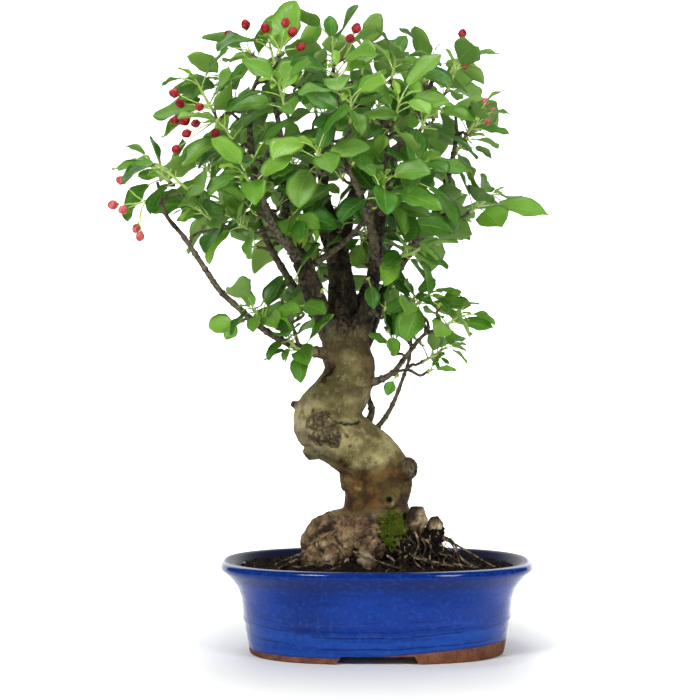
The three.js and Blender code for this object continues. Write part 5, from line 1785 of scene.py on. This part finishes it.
edit_whole(blade_model)
extrude((0, 0, 0.01))
select_corners(blade_model, lambda spot: abs(spot.x) > 0.99 or spot.y < 0.01 or spot.y > 0.99)
bpy.ops.mesh.remove_doubles(threshold=0.02)
for end in (0, 1):
    select_corners(blade_model, lambda spot, end=end: abs(spot.y - end) < 0.01)
    bpy.ops.mesh.merge(type="CENTER")
close_shell()
bpy.ops.object.shade_smooth()
for vertex in blade_model.data.vertices:  # closer together towards the ends, which are round
    vertex.co.y = 0.3 * vertex.co.y + 0.7 * (0.5 - 0.5 * math.cos(math.pi * vertex.co.y))
flat_blade = corners_of(blade_model)
print("blade:", len(blade_model.data.polygons), "faces")


# %% Its UV map: u runs across, from 0 to 1 above and from 2 to 3 below, and v runs along
if not blade_model.data.uv_layers:
    blade_model.data.uv_layers.new(name="UVMap")
uv_map = blade_model.data.uv_layers[0].data
for face in blade_model.data.polygons:
    below = 2 if face.normal.z < 0 else 0
    for corner in face.loop_indices:
        x, y, _ = blade_model.data.vertices[blade_model.data.loops[corner].vertex_index].co
        uv_map[corner].uv = (below + (x + 1) / 2, y)
blade_model.data.flip_normals()  # an arch counts t to the left, so laying the blade mirrors it

# %% The stalk's template: five-sided, with its length from 0 to 1 in Z
STALK_STEPS = 5
deselect()
bpy.ops.mesh.primitive_circle_add(vertices=5, radius=1, fill_type="NGON")
stalk_model = named("stalk_model")
edit_whole(stalk_model)
for _ in range(STALK_STEPS):
    extrude((0, 0, 1 / STALK_STEPS))
close_shell()
bpy.ops.object.shade_smooth()
flat_stalk = corners_of(stalk_model)
print("stalk:", len(stalk_model.data.polygons), "faces")

# %% [markdown]
# ## The leaf's finish
#
# A blade is mid green and a little glossy above, paler and matt below, with a light midrib and
# side veins that run forward to the edge. Sunlight comes through it, so part of the shader is
# Translucent. Every leaf carries a number for its tone and one for its age, painted on its mesh.
# Leaves deep in the crown get a darker tone: partly painted shade, partly the deeper green of shade
# leaves.

# %% Where the veins run on the blade
foliage = Finish("leaf_green")
on_blade = foliage.node("UVMap", {}).outputs[0]
u_raw, v_along = foliage.axis("X", on_blade), foliage.axis("Y", on_blade)
under = foliage.math("GREATER_THAN", u_raw, 1.5)
u_across = foliage.minus(u_raw, foliage.times(under, 2.0))
aside = foliage.times(foliage.math("ABSOLUTE", foliage.minus(u_across, 0.5)), 2.0)
midrib = foliage.ramp(foliage.plus(aside, foliage.times(v_along, 0.03)), 0.03, 0.075, 1.0, 0.0)
vein_phase = foliage.times(foliage.minus(v_along, foliage.times(aside, 0.2)), 8.0)
in_phase = foliage.math("FRACT", foliage.plus(vein_phase, 4.0))
from_vein = foliage.math("ABSOLUTE", foliage.minus(in_phase, 0.5))
side_vein = foliage.times(foliage.ramp(from_vein, 0.40, 0.485), foliage.ramp(aside, 0.98, 0.7))

# %% Leaf green
tone, age = foliage.painted("tone"), foliage.painted("age")
above = foliage.tones(tone, 0.0, 0.5, (16, 66, 22), (58, 122, 36))
above = foliage.coat(above, (126, 178, 62), tone, 0.5, 1.0)
mottled = foliage.mix(tone, (54, 112, 42), (156, 200, 86))
above = foliage.coat(above, mottled, foliage.noise(85, 3), 0.42, 0.66, 0.35)
below = foliage.mix(tone, (72, 110, 60), (150, 184, 100))
blade_tone = foliage.mix(under, above, below)
blade_tone = foliage.mix(age, blade_tone, (158, 196, 78))
blade_tone = foliage.wash(blade_tone, (150, 194, 84), side_vein, 0.26)
blade_tone = foliage.wash(blade_tone, (166, 198, 96), midrib, 0.55)
relief_of_veins = foliage.plus(foliage.times(side_vein, 0.5), midrib)
leaf_height = foliage.minus(foliage.times(foliage.noise(420, 3), 0.3), relief_of_veins)
foliage.bump(leaf_height, 0.5, 0.0007)
foliage.finish(blade_tone, foliage.ramp(under, 0, 1, 0.38, 0.66), 0.42)
glow_tone = foliage.mix(0.55, blade_tone, (176, 228, 56))
glow = foliage.node("BsdfTranslucent", {"Color": glow_tone}).outputs[0]
surface = foliage.node("MixShader", {0: 0.38, 1: foliage.shader.outputs[0], 2: glow})
foliage.link(surface.outputs[0], foliage.output.inputs["Surface"])

# %% Stalk green
stalk_green = Finish("stalk_green")
stalk_grain = stalk_green.noise(240, 3)
stalk_tone = stalk_green.mix(stalk_green.painted("tone"), (130, 168, 66), (186, 208, 122))
stalk_tone = stalk_green.coat(stalk_tone, (150, 128, 78), stalk_grain, 0.5, 0.75, 0.4)
stalk_green.bump(stalk_grain, 0.2, 0.0004)
stalk_green.finish(stalk_tone, 0.5, 0.35)

# %% Bud scales: the dry brown husks that stay at the foot of each shoot
deselect()
bpy.ops.mesh.primitive_cone_add(vertices=5, radius1=0.9, radius2=0.12, depth=3.4,
                                location=(0, 0, 1.5))
scale_model = named("scale_model")
bpy.ops.transform.resize(value=(1, 0.42, 1), center_override=(0, 0, 0))
settle(scale_model)
bpy.ops.object.shade_smooth()
husk = Finish("dry_husk")
husk_tone = husk.tones(husk.noise(350, 3), 0.35, 0.65, (84, 40, 26), (146, 92, 58))
husk.bump(husk.noise(600, 2), 0.4, 0.0004)
husk.finish(husk_tone, 0.75, 0.3)
blade_model.data.materials.append(foliage.material)
stalk_model.data.materials.append(stalk_green.material)
scale_model.data.materials.append(husk.material)


# %% Copies of the templates
def copy_of(model, points):
    """A copy of a template, with its own mesh, whose corners come to these points in metres."""
    piece = model.copy()
    piece.data = model.data.copy()
    bpy.context.collection.objects.link(piece)
    piece.data.vertices.foreach_set("co", np.asarray(points).ravel())
    piece.data.update()
    return piece


def mark(piece, tone, age=0.0):
    count = len(piece.data.vertices)
    paint(piece, "tone", np.full(count, tone))
    paint(piece, "age", np.full(count, age))
    return piece


def laid_blade(leaf, tone, age, draw, breadth=1.0):
    """The blade, folded a little along its midrib and wavy along its edges."""
    t, s = flat_blade[:, 0], flat_blade[:, 1]
    topside = flat_blade[:, 2] > 0.005
    phase, waves = math.tau * draw(), 1.3 + draw()
    half = leaf.length * leaf.HALF_WIDTH
    fold = (0.16 + 0.34 * draw()) * half
    lift = fold * (np.abs(t) ** 1.3 - 0.55) * np.sin(np.pi * np.clip(s, 0.02, 1)) ** 0.5
    lift += 0.036 * leaf.length * np.sin(math.tau * waves * s + phase + 1.5 * t) * t * t
    lift += np.where(topside, 0.16, -0.16) * (np.abs(t) < 0.99)
    broad = (0.84 + 0.4 * draw()) * (1 + (0.5 * draw() - 0.2) * (s - 0.5))
    rounder = np.sin(np.pi * np.clip(s, 0.004, 0.996) ** 0.9) ** (0.1 - 0.2 * draw())
    broad = broad * rounder * (1 - 0.3 * smoothstep(0.86, 1.0, s))
    shape = leaf.at(s, t * breadth * broad * (1 + 0.03 * np.cos(23 * s + phase)), lift)
    shape = leaf.at(0, 0) + leaf.grown * (shape - leaf.at(0, 0))
    return mark(copy_of(blade_model, places(shape)), tone, age)


def laid_stalk(leaf, tone, thick):
    """The stalk, thicker at its foot, running on into the midrib."""
    total = leaf.stalk + leaf.length
    u = flat_stalk[:, 2] * (leaf.stalk + 0.05 * leaf.length) / total
    side, normal = leaf.frame(u)
    size = thick * (1.35 - 0.6 * flat_stalk[:, 2] ** 0.4)
    around = (side * (flat_stalk[:, :1] * size[:, None])
              + normal * (flat_stalk[:, 1:2] * size[:, None]))
    return mark(copy_of(stalk_model, places(leaf.middle(u) + around)), tone)


def laid_stem(at, thick, tone):
    """The green stem of a shoot, from its foot to its tip."""
    spots = np.array([at(share) for share in flat_stalk[:, 2]])
    way = unit(at(1.0) - at(0.0))
    side = unit(np.cross(way, [1.0, 0.0, 0.0]))
    size = thick * (1 - 0.35 * flat_stalk[:, 2])
    around = (np.outer(flat_stalk[:, 0] * size, side)
              + np.outer(flat_stalk[:, 1] * size, np.cross(way, side)))
    return mark(copy_of(stalk_model, places(spots + around)), tone)


def turned(flat, side, way):
    """A template's corners, with its X turned to side and its Z to way."""
    return (np.outer(flat[:, 0], side) + np.outer(flat[:, 1], np.cross(way, side))
            + np.outer(flat[:, 2], way))


def laid_scales(at, growth, draw):
    """A ring of husks round the foot of a shoot."""
    made = []
    for i in range(5):
        out = arm_around(growth, math.tau * (i + 0.4 * draw()) / 5)
        way = unit(growth + out * (0.35 + 0.5 * draw()))
        size = 0.8 + 0.5 * draw()
        husk_points = size * turned(corners_of(scale_model), unit(np.cross(way, out)), way)
        points = at(0) - growth * 1.2 + out * 0.9 + husk_points
        made.append(mark(copy_of(scale_model, places(points)), 0.5))
    return made


# %% Lay every leaf, one piece for each shoot
def painted_crown_light(leaf):
    """0 deep in the crown to 1 outside: inner leaves are darker, partly painted shade, partly shade
    leaves.
    """
    from_core = np.linalg.norm((leaf.middle(0.7) - CROWN_CORE) / [110, 90, 125])
    return float(smoothstep(0.5, 1.05, from_core))


draw = seeded(777)
for number, shoot in enumerate(shoots):
    parts = [laid_stem(shoot["at"], 1.5, 0.5)] + laid_scales(shoot["at"], growths[number], draw)
    for leaf in shoot["leaves"]:
        tone, age = draw(), 0.4 * draw() ** 2
        # Painted shade: leaves deep in the crown get a darker tone, and so do their stalks.
        tone = (0.12 + 0.88 * tone) * (0.4 + 0.6 * painted_crown_light(leaf))
        parts.append(laid_blade(leaf, tone, age, draw, leaf.breadth))
        parts.append(laid_stalk(leaf, 0.3 + 0.7 * tone, 0.62))
    for leaf in shoot["young"]:
        age = 0.45 + 0.55 * draw()
        parts += [laid_blade(leaf, 0.8, age, draw, 0.72), laid_stalk(leaf, 0.8, 0.42)]
    in_frame = number < len(SHOOT_TIPS)
    piece = joined(f"fine_shoot_{number + 1:02d}" if in_frame else shoot["name"], parts)
    if in_frame:
        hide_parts(shoot["name"])
    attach(piece, "root")
    shoot["piece"] = piece
parts = [laid_stem(lambda share: TASSEL_FOOT + share * array((2, -4, 2)), 0.9, 0.9)]
for k in range(9):
    foot = TASSEL_FOOT + array((1.5 - 0.3 * k, -3, 1.5))
    leaf = LeafForm(foot, math.tau * (0.5 + 0.5 * (k + draw()) / 9), 0.1 - 0.9 * draw(),
                    1.5 + 0.5 * draw(), 5, 15 + 11 * draw(), 1.4 * draw() - 0.7)
    parts += [laid_blade(leaf, 1.0, 0.8 + 0.2 * draw(), draw, 0.45), laid_stalk(leaf, 0.9, 0.3)]
tassel = joined("young_tassel", parts)
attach(tassel, "root")
print("shoots:", sum(faces_of(shoot["piece"]) for shoot in shoots), "triangles")

# %% [markdown]
# ## Flower buds
#
# The buds hang in umbels, each on a thin stalk. A closed bud shows its five petals rolled round
# each other, crimson outside, held by a green cup with five pointed lobes. The petals are the
# steps of a slow spiral on an egg, and the cup is a cone whose rim is drawn out into points.

# %% Templates of the petals and the cup, with the bud's axis in Z
deselect()
bpy.ops.mesh.primitive_uv_sphere_add(segments=20, ring_count=11, radius=1)
petals_model = named("petals_model")
for vertex in petals_model.data.vertices:
    px, py, pz = vertex.co
    turn = math.atan2(py, px) / math.tau
    rolled = (5 * (turn + 0.16 * pz)) % 1
    swell = 1 + 0.22 * (rolled - 0.5) * (1 - pz * pz) ** 0.5
    narrow = 1 - 0.16 * max(0, pz)
    vertex.co = Vector((px * swell * narrow * 3.75, py * swell * narrow * 3.75,
                        pz * BUD_HALF + 0.3))
smooth(petals_model)
deselect()
bpy.ops.mesh.primitive_cone_add(vertices=10, radius1=0.75, radius2=3.1, depth=3.2,
                                location=(0, 0, -3.2))
cup_model = named("cup_model")
settle(cup_model)
for vertex in cup_model.data.vertices:
    px, py, pz = vertex.co
    if pz > -3:
        lobe = round(math.atan2(py, px) / math.tau * 10) % 2 == 0
        wide, high = (1.16, 0.7) if lobe else (1, -1.9)
        vertex.co = Vector((px * wide, py * wide, high))
smooth(cup_model)

# %% Crimson, and the two paler kinds
petal_red = Finish("petal_red")
petal_noise = petal_red.noise(300, 3)
red = petal_red.tones(petal_noise, 0.35, 0.7, (104, 0, 14), (178, 8, 34))
pink = petal_red.tones(petal_noise, 0.35, 0.7, (176, 62, 74), (206, 130, 118))
red = petal_red.mix(petal_red.painted("age"), red, pink)
petal_red.bump(petal_noise, 0.2, 0.0005)
petal_red.finish(red, 0.5, 0.2)
cup_green = Finish("cup_green")
cup_noise = cup_green.noise(320, 3)
cup_tone = cup_green.tones(cup_noise, 0.35, 0.65, (94, 124, 44), (146, 170, 78))
cup_green.bump(cup_noise, 0.25, 0.0004)
cup_green.finish(cup_tone, 0.6, 0.3)
petals_model.data.materials.append(petal_red.material)
cup_model.data.materials.append(cup_green.material)
flat_petals, flat_cup = corners_of(petals_model), corners_of(cup_model)


# %% Hang the buds
def pedicel(start, growth, end):
    """The line of a bud's stalk, which sets out with the spur's growth and bends to the bud."""
    pull = start + growth * 0.4 * np.linalg.norm(end - start)

    def at(share):
        a = start + (pull - start) * share
        return a + (pull + (end - pull) * share - a) * share

    return at


def hung(model, flat, centre, way, size):
    """A copy of a template whose axis points the way that its bud hangs."""
    side = unit(np.cross(way, [0.3, 1.0, 0.2]))
    return copy_of(model, places(centre + size * turned(flat, side, way)))


GREEN_UMBELS, PINK_UMBELS = (7,), (6,)
draw = seeded(99)
bud_triangles = 0
for number, (foot, buds) in enumerate(UMBELS):
    growth = umbel_growths[number]
    start = array(foot) + growth * 1.2
    parts = laid_scales(lambda share, start=start, growth=growth: start + growth * share,
                        growth, draw)
    for bud in map(array, buds):
        way = unit(bud - start)
        green_bud = number in GREEN_UMBELS or draw() < 0.1
        size = 0.78 if green_bud else 0.9 + 0.16 * draw()
        age = 1.0 if green_bud else (0.75 if number in PINK_UMBELS else 0.25 * draw())
        parts.append(laid_stem(pedicel(start, growth, bud - way * BUD_HALF * size), 0.62, 0.7))
        parts.append(mark(hung(petals_model, flat_petals, bud, way, size), 0.5, age))
        parts.append(mark(hung(cup_model, flat_cup, bud, way, size), 0.5))
    piece = joined(f"fine_umbel_{number + 1:02d}", parts)
    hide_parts(f"bud_umbel_{number + 1:02d}")
    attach(piece, "root")
    bud_triangles += faces_of(piece)
print("umbels:", bud_triangles, "triangles")
for model in (blade_model, stalk_model, scale_model, petals_model, cup_model):
    bpy.data.objects.remove(model)

# %% [markdown]
# ## Drain screens
#
# Two squares of plastic mesh lie over the drain holes inside the pot. They stay as the frame made
# them, and only get the look of moulded plastic.

# %% Screen plastic
plastic = Finish("screen_plastic")
scuffs = plastic.noise(400, 3)
plastic.bump(scuffs, 0.3, 0.0004)
plastic.finish(plastic.tones(scuffs, 0.4, 0.7, (30, 30, 32), (58, 58, 60)), 0.6, 0.4)
for name in ("drain_screen_01", "drain_screen_02"):
    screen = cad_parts[name]
    screen.data.materials.clear()
    screen.data.materials.append(plastic.material)
